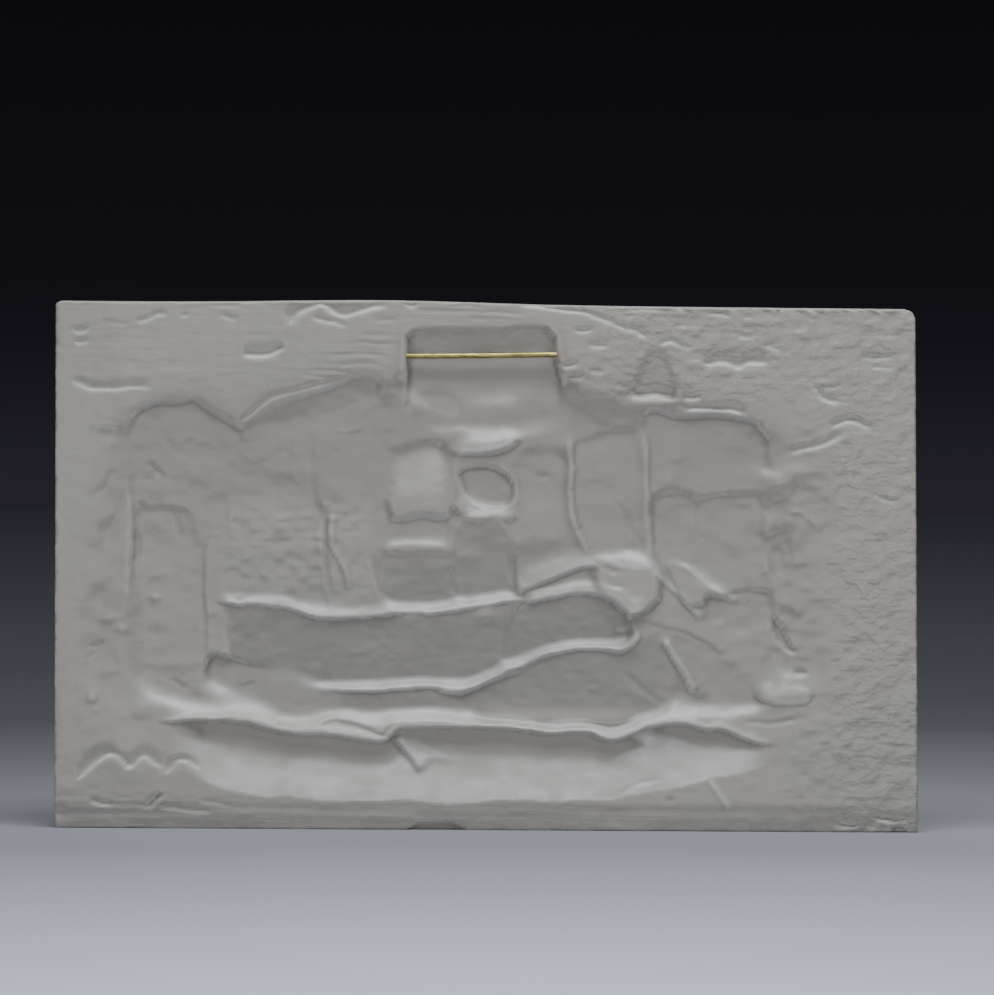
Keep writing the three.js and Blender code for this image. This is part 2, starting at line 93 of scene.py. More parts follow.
def smooth_curve(points: Points, closed: bool = False, steps: int = 5) -> Array:
    """Catmull-Rom curve: a cubic through every point whose tangent is half the chord of its neighbours.

    Args:
        points: the points that the curve passes through.
        closed: whether the last point leads back to the first.
        steps: how many points each span gets.

    Returns:
        The curve's points, one row each.
    """
    p = np.asarray(points, float)
    if len(p) < 3:
        return p
    if closed:
        a, b, c, d = (np.roll(p, shift, axis=0) for shift in (1, 0, -1, -2))
    else:
        q = np.vstack([2 * p[0] - p[1], p, 2 * p[-1] - p[-2]])
        a, b, c, d = q[:-3], q[1:-2], q[2:-1], q[3:]
    a, b, c, d = (v[:, None, :] for v in (a, b, c, d))
    t = (np.arange(steps) / steps)[None, :, None]
    cubic = 0.5 * (2 * b + (c - a) * t + (2 * a - 5 * b + 4 * c - d) * t**2
                   + (3 * b - a - 3 * c + d) * t**3)
    line = cubic.reshape(-1, 2)
    return line if closed else np.vstack([line, p[-1]])


def value_noise(x: Array, z: Array, size_x: float, size_z: float, seed: int) -> Array:
    """Smooth noise: seeded values on a lattice, eased between neighbours.

    Args:
        x: places across, in millimetres.
        z: places up, in millimetres.
        size_x: width of one lattice cell.
        size_z: height of one lattice cell.
        seed: picks the values.

    Returns:
        Noise from -1 to 1.
    """
    lattice = np.random.default_rng(seed).uniform(-1.0, 1.0, (LATTICE_CELLS, LATTICE_CELLS))
    u = x / size_x + LATTICE_START[0]
    v = z / size_z + LATTICE_START[1]
    i = np.floor(u).astype(int)
    j = np.floor(v).astype(int)
    fu = ease(u - i)
    fv = ease(v - j)
    i %= LATTICE_CELLS - 1
    j %= LATTICE_CELLS - 1
    low = lattice[j, i] * (1 - fu) + lattice[j, i + 1] * fu
    high = lattice[j + 1, i] * (1 - fu) + lattice[j + 1, i + 1] * fu
    return low * (1 - fv) + high * fv


class DepthField:
    """How far the worked surface lies behind the plane of the back, over an even grid.

    The forms are drawn on slightly wavy coordinates, the even ones plus smooth noise, so that
    their edges wander as hand-pressed ones do.
    """

    # shares of each form's own size, and the powers and rates by which it falls
    # the ones for flanks, edges and slopes shape the painted light on the surface
    WALL_OUTSIDE = 0.35
    PAINTED_LIGHT_FALL = 1.5
    GROOVE_REACH = 3.5
    LIP_PLACE = 1.5
    EDGE_PAINTED_LIGHT = 0.75
    EDGE_PAINTED_LIGHT_PLACE = 0.2
    EDGE_PAINTED_LIGHT_WIDTH = 0.7
    LUMP_REACH = 2.2
    LUMP_FALL = 1.4
    SLOPE_CURVE = 1.2
    SLOPE_START = 0.03
    SLOPE_PAINTED_LIGHT_FROM = 0.8
    SLOPE_PAINTED_LIGHT_OVER = 0.3

    def __init__(self, xs: Array, zs: Array) -> None:
        """Starts as a flat plane.

        Args:
            xs: the grid's places across, rising.
            zs: the grid's places up, rising.
        """
        self.xs = xs
        self.zs = zs
        self.even_x, self.even_z = np.meshgrid(xs, zs)
        even = (self.even_x, self.even_z)
        self.x = self.even_x + 1.0 * value_noise(*even, 15, 12, 1) + 0.45 * value_noise(*even, 5, 4, 2)
        self.z = self.even_z + 0.8 * value_noise(*even, 17, 13, 3) + 0.35 * value_noise(*even, 5, 4, 4)
        self.depth = np.zeros_like(self.x)
        # painted light: how much lighter each point is painted, where the lamps would light it
        self.painted_light = np.zeros_like(self.x)
        # painted shade: how much darker each point is painted, low on the panel
        self.low_painted_shade = np.zeros_like(self.x)
        self.gain = 1.0

    def window(self, line: Array, margin: float) -> tuple[slice, slice]:
        """The grid's rows and columns round a line.

        Args:
            line: the points of the line.
            margin: how far beyond the line to reach.

        Returns:
            Slices of rows and columns.
        """
        low = line.min(axis=0) - margin
        high = line.max(axis=0) + margin
        i0, i1 = np.searchsorted(self.xs, [low[0], high[0]])
        j0, j1 = np.searchsorted(self.zs, [low[1], high[1]])
        return slice(j0, j1), slice(i0, i1)

    def nearest(self, part: tuple[slice, slice], line: Array) -> tuple[Array, Array, Array]:
        """Distance to a line: the least of the distances to its segments.

        Args:
            part: the rows and columns to work on.
            line: the points of the line.

        Returns:
            The distance, the side (1 left of travel, -1 right) and the share of the length passed.
        """
        x = self.x[part]
        z = self.z[part]
        best = np.full(x.shape, np.inf)
        side = np.zeros(x.shape)
        along = np.zeros(x.shape)
        steps = np.diff(line, axis=0)
        lengths = np.hypot(steps[:, 0], steps[:, 1])
        passed = 0.0
        for (px, pz), (vx, vz), length in zip(line[:-1], steps, lengths):
            if length == 0.0:
                continue
            t = np.clip(((x - px) * vx + (z - pz) * vz) / length**2, 0.0, 1.0)
            dx = x - px - t * vx
            dz = z - pz - t * vz
            square = dx * dx + dz * dz
            closer = square < best
            best = np.where(closer, square, best)
            side = np.where(closer, vx * dz - vz * dx, side)
            along = np.where(closer, passed + t * length, along)
            passed += length
        return np.sqrt(best), np.where(side >= 0.0, 1.0, -1.0), along / lengths.sum()

    def inside(self, part: tuple[slice, slice], outline: Array) -> Array:
        """Which grid points lie inside a closed outline, by counting crossings to the right.

        Args:
            part: the rows and columns to work on.
            outline: the outline's points.

        Returns:
            True where inside.
        """
        x = self.x[part]
        z = self.z[part]
        hit = np.zeros(x.shape, bool)
        for (ax, az), (bx, bz) in zip(outline, np.roll(outline, -1, axis=0)):
            if az != bz:
                crosses = (az > z) != (bz > z)
                hit ^= crosses & (x < (bx - ax) * (z - az) / (bz - az) + ax)
        return hit

    def level(self, outline: Points, depth: float, wall: float | tuple[float, float],
              tilt_x: float = 0.0, tilt_z: float = 0.0, relative: bool = False,
              crisp: float = 0.0) -> None:
        """Brings the surface inside an outline to one depth: a blend by the share of its wall passed.

        The soft blend is the eased share, about a third of it outside the outline. The crisp one is
        1 - (1 - share)^2, which breaks sharply at the outline and runs out smoothly inside.

        Args:
            outline: points of the closed outline.
            depth: the floor's depth, or what is added to the depth where relative is set.
            wall: width of the sloping wall, or its widths at the outline's foot and head.
            tilt_x: depth gained for each millimetre across.
            tilt_z: depth gained for each millimetre up.
            relative: adds to the depth that is there and keeps its shape.
            crisp: how much of the blend is the crisp one.
        """
        line = smooth_curve(outline, closed=True)
        foot_wall, head_wall = wall if isinstance(wall, tuple) else (wall, wall)
        part = self.window(line, max(foot_wall, head_wall))
        low, high = line.min(axis=0), line.max(axis=0)
        up = ease((self.z[part] - low[1]) / (high[1] - low[1]))
        width = foot_wall + (head_wall - foot_wall) * up
        distance, _, _ = self.nearest(part, np.vstack([line, line[:1]]))
        share = np.where(self.inside(part, line), distance, -distance) / width
        middle = (low + high) / 2
        floor = depth + tilt_x * (self.x[part] - middle[0]) + tilt_z * (self.z[part] - middle[1])
        if relative:
            floor = self.gain * floor + self.depth[part]
        sharp = 1 - (1 - np.clip(share, 0, 1)) ** 2
        blend = crisp * sharp + (1 - crisp) * ease(share + self.WALL_OUTSIDE)
        self.depth[part] += (floor - self.depth[part]) * blend

    def crest(self, points: Points, height: float, left: float, right: float, fade: float = 0.12,
              painted_light: float = 0.0) -> None:
        """Raises a ridge: the height times one minus the eased distance over the flank's width.

        Its left flank gets painted light by the same share, raised to a power so that it fades sooner.

        Args:
            points: the line of the ridge.
            height: how far it stands up, towards the viewer.
            left: width of the flank left of travel.
            right: width of the flank right of travel.
            fade: share of the length over which each end dies away.
            painted_light: how much painted light the left flank gets.
        """
        line = smooth_curve(points)
        part = self.window(line, max(left, right))
        distance, side, along = self.nearest(part, line)
        flank = np.where(side > 0.0, left, right)
        ends = ease(along / fade) * ease((1 - along) / fade)
        self.depth[part] -= self.gain * height * (1 - ease(distance / flank)) * ends
        # painted light on the left flank
        if painted_light:
            shown = painted_light * (side > 0.0) * (1 - ease(distance / left)) ** self.PAINTED_LIGHT_FALL * ends
            self.painted_light[part] = np.maximum(self.painted_light[part], shown)

    def cut(self, points: Points, width: float, depth: float, lip: float = 0.0, fade: float = 0.25) -> None:
        """Cuts a groove: the depth times a bell curve of the distance, with a raised lip on its right.

        Args:
            points: the line of the groove.
            width: the bell curve's width.
            depth: the groove's depth.
            lip: height of the lip.
            fade: share of the length over which each end dies away.
        """
        line = smooth_curve(points)
        part = self.window(line, self.GROOVE_REACH * width)
        distance, side, along = self.nearest(part, line)
        ends = self.gain * ease(along / fade) * ease((1 - along) / fade)
        self.depth[part] += depth * np.exp(-((distance / width) ** 2)) * ends
        if lip:
            beyond = -side * distance - self.LIP_PLACE * width
            self.depth[part] -= lip * np.exp(-((beyond / width) ** 2)) * ends

    def scoop(self, points: Points, depth: float, edge: float, reach: float, fade: float = 0.15) -> None:
        """Hollows the left side of a line: a quick fall over the edge, then a slow way back out.

        A bell curve of the distance, close to the line, gives the edge itself painted light.

        Args:
            points: the sharp edge of the hollow, travelled with the hollow on the left.
            depth: depth at the foot of the edge.
            edge: width of the sharp edge.
            reach: how far the hollow takes to run out.
            fade: share of the length over which each end dies away.
        """
        line = smooth_curve(points)
        part = self.window(line, reach + edge)
        distance, side, along = self.nearest(part, line)
        signed = side * distance
        ends = ease(along / fade) * ease((1 - along) / fade)
        fall = ease(signed / edge)
        back = 1 - ease((signed - edge) / reach)
        self.depth[part] += self.gain * depth * fall * back * ends
        # painted light along the edge
        from_edge = (signed - self.EDGE_PAINTED_LIGHT_PLACE * edge) / (self.EDGE_PAINTED_LIGHT_WIDTH * edge)
        near = self.EDGE_PAINTED_LIGHT * np.exp(-(from_edge ** 2)) * ends
        self.painted_light[part] = np.maximum(self.painted_light[part], near * min(1.0, abs(depth)))

    def lump(self, x: float, z: float, radius_x: float, radius_z: float, height: float,
             turn: float = 0.0) -> None:
        """A rounded lump, or a dent where the height is negative: a bell curve over an ellipse.

        Args:
            x: middle, across.
            z: middle, up.
            radius_x: half width along its own first axis.
            radius_z: half width along its own second axis.
            height: how far it stands up.
            turn: angle of its first axis above +X, in degrees.
        """
        reach = self.LUMP_REACH * max(radius_x, radius_z)
        part = self.window(np.array([[x, z]]), reach)
        cos, sin = math.cos(math.radians(turn)), math.sin(math.radians(turn))
        dx = self.x[part] - x
        dz = self.z[part] - z
        u = (dx * cos + dz * sin) / radius_x
        v = (dz * cos - dx * sin) / radius_z
        self.depth[part] -= self.gain * height * np.exp(-self.LUMP_FALL * (u * u + v * v))

    def trough(self, lower: Points, upper: Points, depth: float, deepest: float,
               full_span: float = 30.0, step: float = 1.2, end_width: float = 8.0) -> None:
        """A hollow between two lines over x, with a slope from the lower one and a flat below the upper.

        The share s of the way up gives depth * (s/deepest)^1.2 below the deepest place. Above it the
        depth stays, and over the step below the upper line it comes back by an eased share. The slope
        gets painted light, from a crisp lower edge up to the deepest place.

        Args:
            lower: the line where the slope starts.
            upper: the line under which it stops.
            depth: greatest depth where the lines are far apart.
            deepest: share of the way up at which it is deepest.
            full_span: distance between the lines from which the depth is full.
            step: height over which it comes back under the upper line.
            end_width: width over which it dies away at its left and right end.
        """
        low = smooth_curve(lower)
        high = smooth_curve(upper)
        part = self.window(np.vstack([low, high]), 1.0)
        x = self.x[part]
        z = self.z[part]
        bottom = np.interp(x, low[:, 0], low[:, 1])
        top = np.interp(x, high[:, 0], high[:, 1])
        span = np.maximum(top - bottom, 0.01)
        share = (z - bottom) / span
        profile = np.clip(share / deepest, 0, 1) ** self.SLOPE_CURVE * ease((top - z) / step)
        start = max(low[0, 0], high[0, 0])
        stop = min(low[-1, 0], high[-1, 0])
        used = ((share > 0) & (share < 1)) * ease((x - start) / end_width) * ease((stop - x) / end_width)
        wanted = depth * np.minimum(1, span / full_span) * profile + self.depth[part] * (1 - profile)
        self.depth[part] += (wanted - self.depth[part]) * used
        # painted light on the slope
        past_slope = (share - self.SLOPE_PAINTED_LIGHT_FROM * deepest) / (self.SLOPE_PAINTED_LIGHT_OVER * deepest)
        slope = ease(share / self.SLOPE_START) * (1 - ease(past_slope))
        self.painted_light[part] = np.maximum(self.painted_light[part], slope * used)

    def mark(self, layer: Array, outline: Points, share: float, edge: float) -> None:
        """Raises a painted layer inside an outline to a share, eased in over the edge.

        Args:
            layer: the painted light layer or the painted shade layer.
            outline: points of the closed outline.
            share: how much of the layer shows, from 0 to 1.
            edge: width of the edge.
        """
        line = smooth_curve(outline, closed=True)
        part = self.window(line, 1.0)
        distance, _, _ = self.nearest(part, np.vstack([line, line[:1]]))
        shown = share * ease(distance / edge) * self.inside(part, line)
        layer[part] = np.maximum(layer[part], shown)

    def grain(self, size_x: float, size_z: float, height: float, seed: int, mask: Array | float = 1.0,
              ridged: bool = False) -> None:
        """Roughens the surface with smooth noise.

        Args:
            size_x: width of the noise's cells.
            size_z: height of the noise's cells.
            height: half the roughness.
            seed: picks the noise.
            mask: how much of it each grid point gets.
            ridged: folds the noise, which leaves sharp little ridges.
        """
        noise = value_noise(self.even_x, self.even_z, size_x, size_z, seed)
        if ridged:
            noise = 1 - 2 * np.abs(noise)
        self.depth += height * noise * mask

    def smoothed(self, radius: int) -> Array:
        """Mean depth over a square of grid points, by running sums along both axes.

        Args:
            radius: points on each side of the middle one.

        Returns:
            The smoothed depths.
        """
        result = self.depth
        for axis in (0, 1):
            pads = [(radius + 1, radius) if a == axis else (0, 0) for a in (0, 1)]
            sums = np.cumsum(np.pad(result, pads, mode="edge"), axis=axis)
            count = result.shape[axis]
            span = 2 * radius + 1
            upper = np.take(sums, range(span, span + count), axis=axis)
            lower = np.take(sums, range(count), axis=axis)
            result = (upper - lower) / span
        return result


class Wire:
    """A socket's output with arithmetic: each operator adds one Math node."""

    def __init__(self, shader: "Shader", socket: bpy.types.NodeSocket) -> None:
        """Wraps a socket of a shader's tree."""
        self.shader = shader
        self.socket = socket

    def _math(self, operation: str, first: "Wire | float", second: "Wire | float") -> "Wire":
        """Adds the Math node of one operator."""
        return self.shader.node("ShaderNodeMath", {"operation": operation}, {0: first, 1: second})

    def __add__(self, other: "Wire | float") -> "Wire":
        """Sum."""
        return self._math("ADD", self, other)

    __radd__ = __add__

    def __sub__(self, other: "Wire | float") -> "Wire":
        """Difference."""
        return self._math("SUBTRACT", self, other)

    def __rsub__(self, other: float) -> "Wire":
        """Difference from a number."""
        return self._math("SUBTRACT", other, self)

    def __mul__(self, other: "Wire | float") -> "Wire":
        """Product."""
        return self._math("MULTIPLY", self, other)

    __rmul__ = __mul__

    def __truediv__(self, other: "Wire | float") -> "Wire":
        """Quotient."""
        return self._math("DIVIDE", self, other)

    def within(self, low: float, high: float) -> "Wire":
        """0 at low, 1 at high, eased between, by a Map Range node."""
        return self.shader.node("ShaderNodeMapRange", {"interpolation_type": "SMOOTHSTEP"},
                                {"Value": self, "From Min": low, "From Max": high})


class Shader:
    """A material's node tree, built node by node."""

    def __init__(self, name: str) -> None:
        """Makes a material with only a Principled shader.

        Args:
            name: the material's name.
        """
        self.material = bpy.data.materials.new(name)
        self.material.use_nodes = True
        self.tree = self.material.node_tree
        self.surface = self.tree.nodes["Principled BSDF"]

    def node(self, kind: str, settings: dict | None = None, inputs: dict | None = None,
             output: int | str = 0) -> Wire:
        """Adds a node.

        Args:
            kind: the node's type.
            settings: its properties, set before its sockets; "stops" fills a colour ramp.
            inputs: values or wires by socket name or place.
            output: the output socket that is wanted.

        Returns:
            The wanted output.
        """
        made = self.tree.nodes.new(kind)
        for key, value in (settings or {}).items():
            if key == "stops":
                self.fill_ramp(made.color_ramp, value)
            else:
                setattr(made, key, value)
        for key, value in (inputs or {}).items():
            self._feed(made.inputs[key], value)
        return Wire(self, made.outputs[output])

    def _feed(self, socket: bpy.types.NodeSocket, value: "Wire | float | Sequence[float]") -> None:
        """Links a wire to a socket, or sets the socket's own value."""
        if isinstance(value, Wire):
            self.tree.links.new(value.socket, socket)
        elif isinstance(value, tuple) and len(value) == 3 and socket.type == "RGBA":
            socket.default_value = (*value, 1.0)
        else:
            socket.default_value = value

    @staticmethod
    def fill_ramp(ramp: bpy.types.ColorRamp, stops: Sequence[tuple[float, Colour]]) -> None:
        """Gives a colour ramp its stops."""
        while len(ramp.elements) > 1:
            ramp.elements.remove(ramp.elements[-1])
        for number, (place, colour) in enumerate(stops):
            element = ramp.elements[0] if number == 0 else ramp.elements.new(place)
            element.position = place
            element.color = (*colour, 1.0)

    def place(self) -> Wire:
        """Object coordinates, in metres."""
        return self.node("ShaderNodeTexCoord", output="Object")

    def stretched(self, scale: Sequence[float]) -> Wire:
        """Object coordinates multiplied by a scale for each axis."""
        return self.node("ShaderNodeMapping", {"vector_type": "POINT"},
                         {"Vector": self.place(), "Scale": tuple(scale)})

    def noise(self, scale: float, detail: float = 3.0, roughness: float = 0.5,
              vector: Wire | None = None) -> Wire:
        """Noise from 0 to 1 over Object coordinates or a given vector."""
        return self.node("ShaderNodeTexNoise", {}, {
            "Vector": vector or self.place(), "Scale": scale, "Detail": detail, "Roughness": roughness})

    def mix(self, factor: Wire | float, first: Wire | Colour, second: Wire | Colour,
            blend: str = "MIX") -> Wire:
        """Mixes two colours."""
        def colour(value: Wire | Colour) -> Wire | Sequence[float]:
            """A wire as it is, or a colour with its alpha."""
            return value if isinstance(value, Wire) else (*value, 1.0)
        return self.node("ShaderNodeMix", {"data_type": "RGBA", "blend_type": blend},
                         {0: factor, 6: colour(first), 7: colour(second)}, 2)

    def painted(self, name: str) -> Wire:
        """A value that the mesh carries for each vertex."""
        return self.node("ShaderNodeAttribute", {"attribute_name": name}, output="Fac")

    def bump(self, height: Wire, strength: float, distance: float) -> Wire:
        """A bumped normal."""
        return self.node("ShaderNodeBump", {},
                         {"Height": height, "Strength": strength, "Distance": distance})

    def finish(self, **sockets: "Wire | float | Colour") -> bpy.types.Material:
        """Sets the Principled shader's sockets, with _ for a space in a name.

        Returns:
            The material.
        """
        for name, value in sockets.items():
            self._feed(self.surface.inputs[name.replace("_", " ")], value)
        return self.material


def closed_mesh(name: str, vertices: Array, quads: Array, triangles: Array) -> bpy.types.Object:
    """Makes a smooth-shaded mesh object at the origin.

    Args:
        name: the object's name.
        vertices: one row of x, y, z in metres for each vertex.
        quads: one row of four vertex numbers for each four-sided face.
        triangles: one row of three vertex numbers for each three-sided face.

    Returns:
        The object, linked to the scene.
    """
    mesh = bpy.data.meshes.new(name)
    mesh.vertices.add(len(vertices))
    mesh.vertices.foreach_set("co", vertices.astype(np.float32).ravel())
    corners = np.concatenate([quads.ravel(), triangles.ravel()]).astype(np.int32)
    starts = np.concatenate([np.arange(len(quads)) * 4, quads.size + np.arange(len(triangles)) * 3])
    mesh.loops.add(len(corners))
    mesh.loops.foreach_set("vertex_index", corners)
    mesh.polygons.add(len(starts))
    mesh.polygons.foreach_set("loop_start", starts.astype(np.int32))
    mesh.polygons.foreach_set("use_smooth", np.ones(len(starts), bool))
    mesh.update(calc_edges=True)
    mesh.validate()
    thing = bpy.data.objects.new(name, mesh)
    bpy.context.scene.collection.objects.link(thing)
    return thing


def grid_quads(numbers: Array) -> Array:
    """Faces of a grid of vertex numbers, turned so that columns then rows run anticlockwise."""
    a, b = numbers[:-1, :-1], numbers[:-1, 1:]
    c, d = numbers[1:, 1:], numbers[1:, :-1]
    return np.stack([a, b, c, d], axis=-1).reshape(-1, 4)


@dataclass(frozen=True)
class PlasterAndPaintedLight:
    """Sealed casting plaster, satin, uneven pink and green, with soft painted shade in creases and painted
    light.
    """

    body: Colour = (0.324, 0.309, 0.278)
    pink: Colour = (0.330, 0.287, 0.262)
    green: Colour = (0.272, 0.285, 0.250)
    tan: Colour = (0.280, 0.244, 0.218)
    # painted shade in creases and hollows, and the dirt in pores
    shade_and_dirt: Colour = (0.120, 0.112, 0.098)
    # painted shade towards the bottom and left edges and in the band hollows
    grey: Colour = (0.262, 0.254, 0.238)
    # painted light on undersides and a painted highlight on ridges
    worn: Colour = (0.620, 0.600, 0.560)
    # painted light on surfaces that face up towards the lamps
    painted_light_tone: Colour = (0.600, 0.598, 0.585)
    roughness: float = 0.43

    def material(self) -> bpy.types.Material:
        """Builds the plaster's material.

        Returns:
            The material.
        """
        s = Shader("sealed_plaster_and_painted_light")
        crease = s.painted("crease")
        patina = s.painted("patina")
        stipple = s.painted("stipple")
        facing = s.painted("facing")
        painted_light_mix = s.painted("painted_light_mix")
        brush = s.painted("brush")
        painted_shade = s.painted("painted_shade")
        # painted shade in the hollows
        sunk = s.painted("sunk")
        broad = s.noise(7.0, 2.0)
        patch = s.noise(16.0, 3.0, 0.6, s.stretched((1.0, 1.0, 1.4)))
        mottle = s.noise(85.0, 4.0, 0.6)
        speck = s.noise(1400.0, 2.0, 0.5)
        tint = s.mix(patch.within(0.50, 0.68) * 0.45, self.body, self.pink)
        tint = s.mix(broad.within(0.52, 0.70) * 0.45, tint, self.green)
        tint = s.mix(patina * (0.30 + 0.95 * patch), tint, self.tan)
        # painted shade towards the bottom and left edges and in the band hollows
        tint = s.mix(painted_shade * (0.55 + 0.5 * patch), tint, self.grey)
        # painted shade in the hollows
        tint = s.mix(sunk * 0.17, tint, self.shade_and_dirt)
        # painted light where the surface faces up
        tint = s.mix(painted_light_mix * (0.5 + 0.55 * mottle), tint, self.painted_light_tone)
        # painted light on undersides, which face away from the lamps
        tint = s.mix((0.0 - facing).within(0.3, 1.0) * 0.62, tint, self.worn)
        shade = 0.93 + mottle * 0.11 + speck * 0.04
        grey = s.node("ShaderNodeCombineColor", {}, {0: shade, 1: shade, 2: shade})
        tint = s.mix(1.0, tint, grey, "MULTIPLY")
        # painted shade in creases
        tint = s.mix(crease.within(0.08, 0.9) * 0.16, tint, self.shade_and_dirt)
        # painted highlight on ridges
        tint = s.mix((0.0 - crease).within(0.05, 0.8) * 0.16, tint, self.worn)
        pores = s.node("ShaderNodeTexVoronoi", {"feature": "F1"},
                       {"Vector": s.place(), "Scale": 150.0, "Randomness": 1.0})
        pore = 1.0 - pores.within(0.03, 0.09)
        kept = s.noise(40.0, 1.0).within(0.56, 0.62)
        pit = pore * kept
        tint = s.mix(pit * 0.3, tint, self.shade_and_dirt)
        gloss = self.roughness - 0.06 + mottle * 0.14 + pit * 0.2
        brushed = s.noise(1.0, 3.0, 0.6, s.stretched((60.0, 60.0, 900.0)))
        worms = s.noise(1.0, 2.0, 0.5, s.stretched((190.0, 190.0, 300.0)))
        fine = s.noise(650.0, 3.0, 0.6)
        height = fine * 0.5 + brushed * brush * 0.8 + worms.within(0.38, 0.66) * stipple * 1.2 - pit * 0.8
        normal = s.bump(height, 0.6, 0.00028)
        return s.finish(Base_Color=tint, Roughness=gloss, Normal=normal, Specular_IOR_Level=0.75)


@dataclass(frozen=True)
class BrassFinish:
    """Drawn brass rod, dulled by handling and by the plaster."""

    bright: Colour = (0.46, 0.40, 0.15)
    dull: Colour = (0.19, 0.165, 0.06)

    def material(self) -> bpy.types.Material:
        """Builds the brass material.

        Returns:
            The material.
        """
        s = Shader("dulled_brass")
        along = s.noise(1.0, 3.0, 0.6, s.stretched((90.0, 500.0, 500.0)))
        drawn = s.noise(1.0, 2.0, 0.6, s.stretched((60.0, 4000.0, 4000.0)))
        tarnish = along.within(0.42, 0.66)
        tint = s.mix(tarnish * 0.75, self.bright, self.dull)
        normal = s.bump(drawn + along * 0.5, 0.35, 0.00008)
        return s.finish(Base_Color=tint, Metallic=1.0, Roughness=0.24 + tarnish * 0.25, Normal=normal)


@dataclass(frozen=True)
class FloorPaintedLight:
    """Plain whitish table top, with painted light: its colour darkens with the distance from its middle."""

    middle: tuple[float, float, float] = (0.0, -1.0, 0.0)
    tint: Colour = (0.94, 0.98, 1.10)
    # painted light: greys of the floor by distance, darker farther out as the lamps' light falls off
    painted_light: tuple[Point, ...] = ((0.27, 0.64), (0.43, 0.53), (0.60, 0.44), (0.755, 0.382), (0.90, 0.302),
                               (1.04, 0.315), (1.23, 0.255), (1.62, 0.184), (2.14, 0.139), (2.9, 0.178))
    far_tint: Colour = (0.95, 0.98, 1.20)
    # painted light: the far floor glows, standing in for lamp light
    glow: tuple[Point, ...] = ((2.1, 0.0), (2.9, 0.029), (4.1, 0.040), (6.2, 0.039), (11.0, 0.032),
                               (22.0, 0.025), (60.0, 0.021))
    nearest: float = 0.1
    farthest: float = 61.0

    def ring(self, shader: Shader, stops: tuple[Point, ...], tint: Colour) -> Wire:
        """A colour that changes with the logarithm of the distance from the table's middle.

        Args:
            shader: the material's tree.
            stops: distances in metres, each with a grey.
            tint: what the greys are multiplied by.

        Returns:
            The colour.
        """
        span = self.farthest / self.nearest
        distance = shader.node("ShaderNodeVectorMath", {"operation": "DISTANCE"},
                               {0: shader.place(), 1: self.middle}, "Value")
        share = shader.node("ShaderNodeMath", {"operation": "LOGARITHM"},
                            {0: distance / self.nearest, 1: span})
        places = [(math.log(metres / self.nearest, span), tuple(grey * part for part in tint))
                  for metres, grey in stops]
        return shader.node("ShaderNodeValToRGB", {"stops": places}, {0: share})

    def material(self) -> bpy.types.Material:
        """Builds the floor's material.

        Returns:
            The material.
        """
        s = Shader("floor_painted_light")
        return s.finish(Base_Color=self.ring(s, self.painted_light, self.tint), Roughness=0.7,
                        Specular_IOR_Level=0.15, Emission_Strength=1.0,
                        Emission_Color=self.ring(s, self.glow, self.far_tint))


@dataclass(frozen=True)
class StudioAir:
    """The dark backdrop: its colour at each height above the horizon, as the sine of the angle."""

    stops: tuple[tuple[float, Colour], ...] = (
        (-0.0040, (0.0200, 0.0206, 0.0252)), (0.0040, (0.0210, 0.0193, 0.0280)),
        (0.0178, (0.0147, 0.0140, 0.0200)), (0.0339, (0.0097, 0.0097, 0.0138)),
        (0.0501, (0.0073, 0.0068, 0.0102)), (0.1095, (0.0053, 0.0053, 0.0075)))
    low: float = -0.02
    high: float = 0.13

    def world(self) -> bpy.types.World:
        """Builds the world.

        Returns:
            The world.
        """
        world = bpy.data.worlds.new("studio_air")
        world.use_nodes = True
        nodes = world.node_tree.nodes
        links = world.node_tree.links
        towards = nodes.new("ShaderNodeTexCoord")
        parts = nodes.new("ShaderNodeSeparateXYZ")
        height = nodes.new("ShaderNodeMapRange")
        height.inputs["From Min"].default_value = self.low
        height.inputs["From Max"].default_value = self.high
        ramp = nodes.new("ShaderNodeValToRGB")
        span = self.high - self.low
        stops = [((sine - self.low) / span, colour) for sine, colour in self.stops]
        Shader.fill_ramp(ramp.color_ramp, stops)
        links.new(towards.outputs["Generated"], parts.inputs[0])
        links.new(parts.outputs["Z"], height.inputs["Value"])
        links.new(height.outputs[0], ramp.inputs[0])
        links.new(ramp.outputs[0], nodes["Background"].inputs["Color"])
        return world


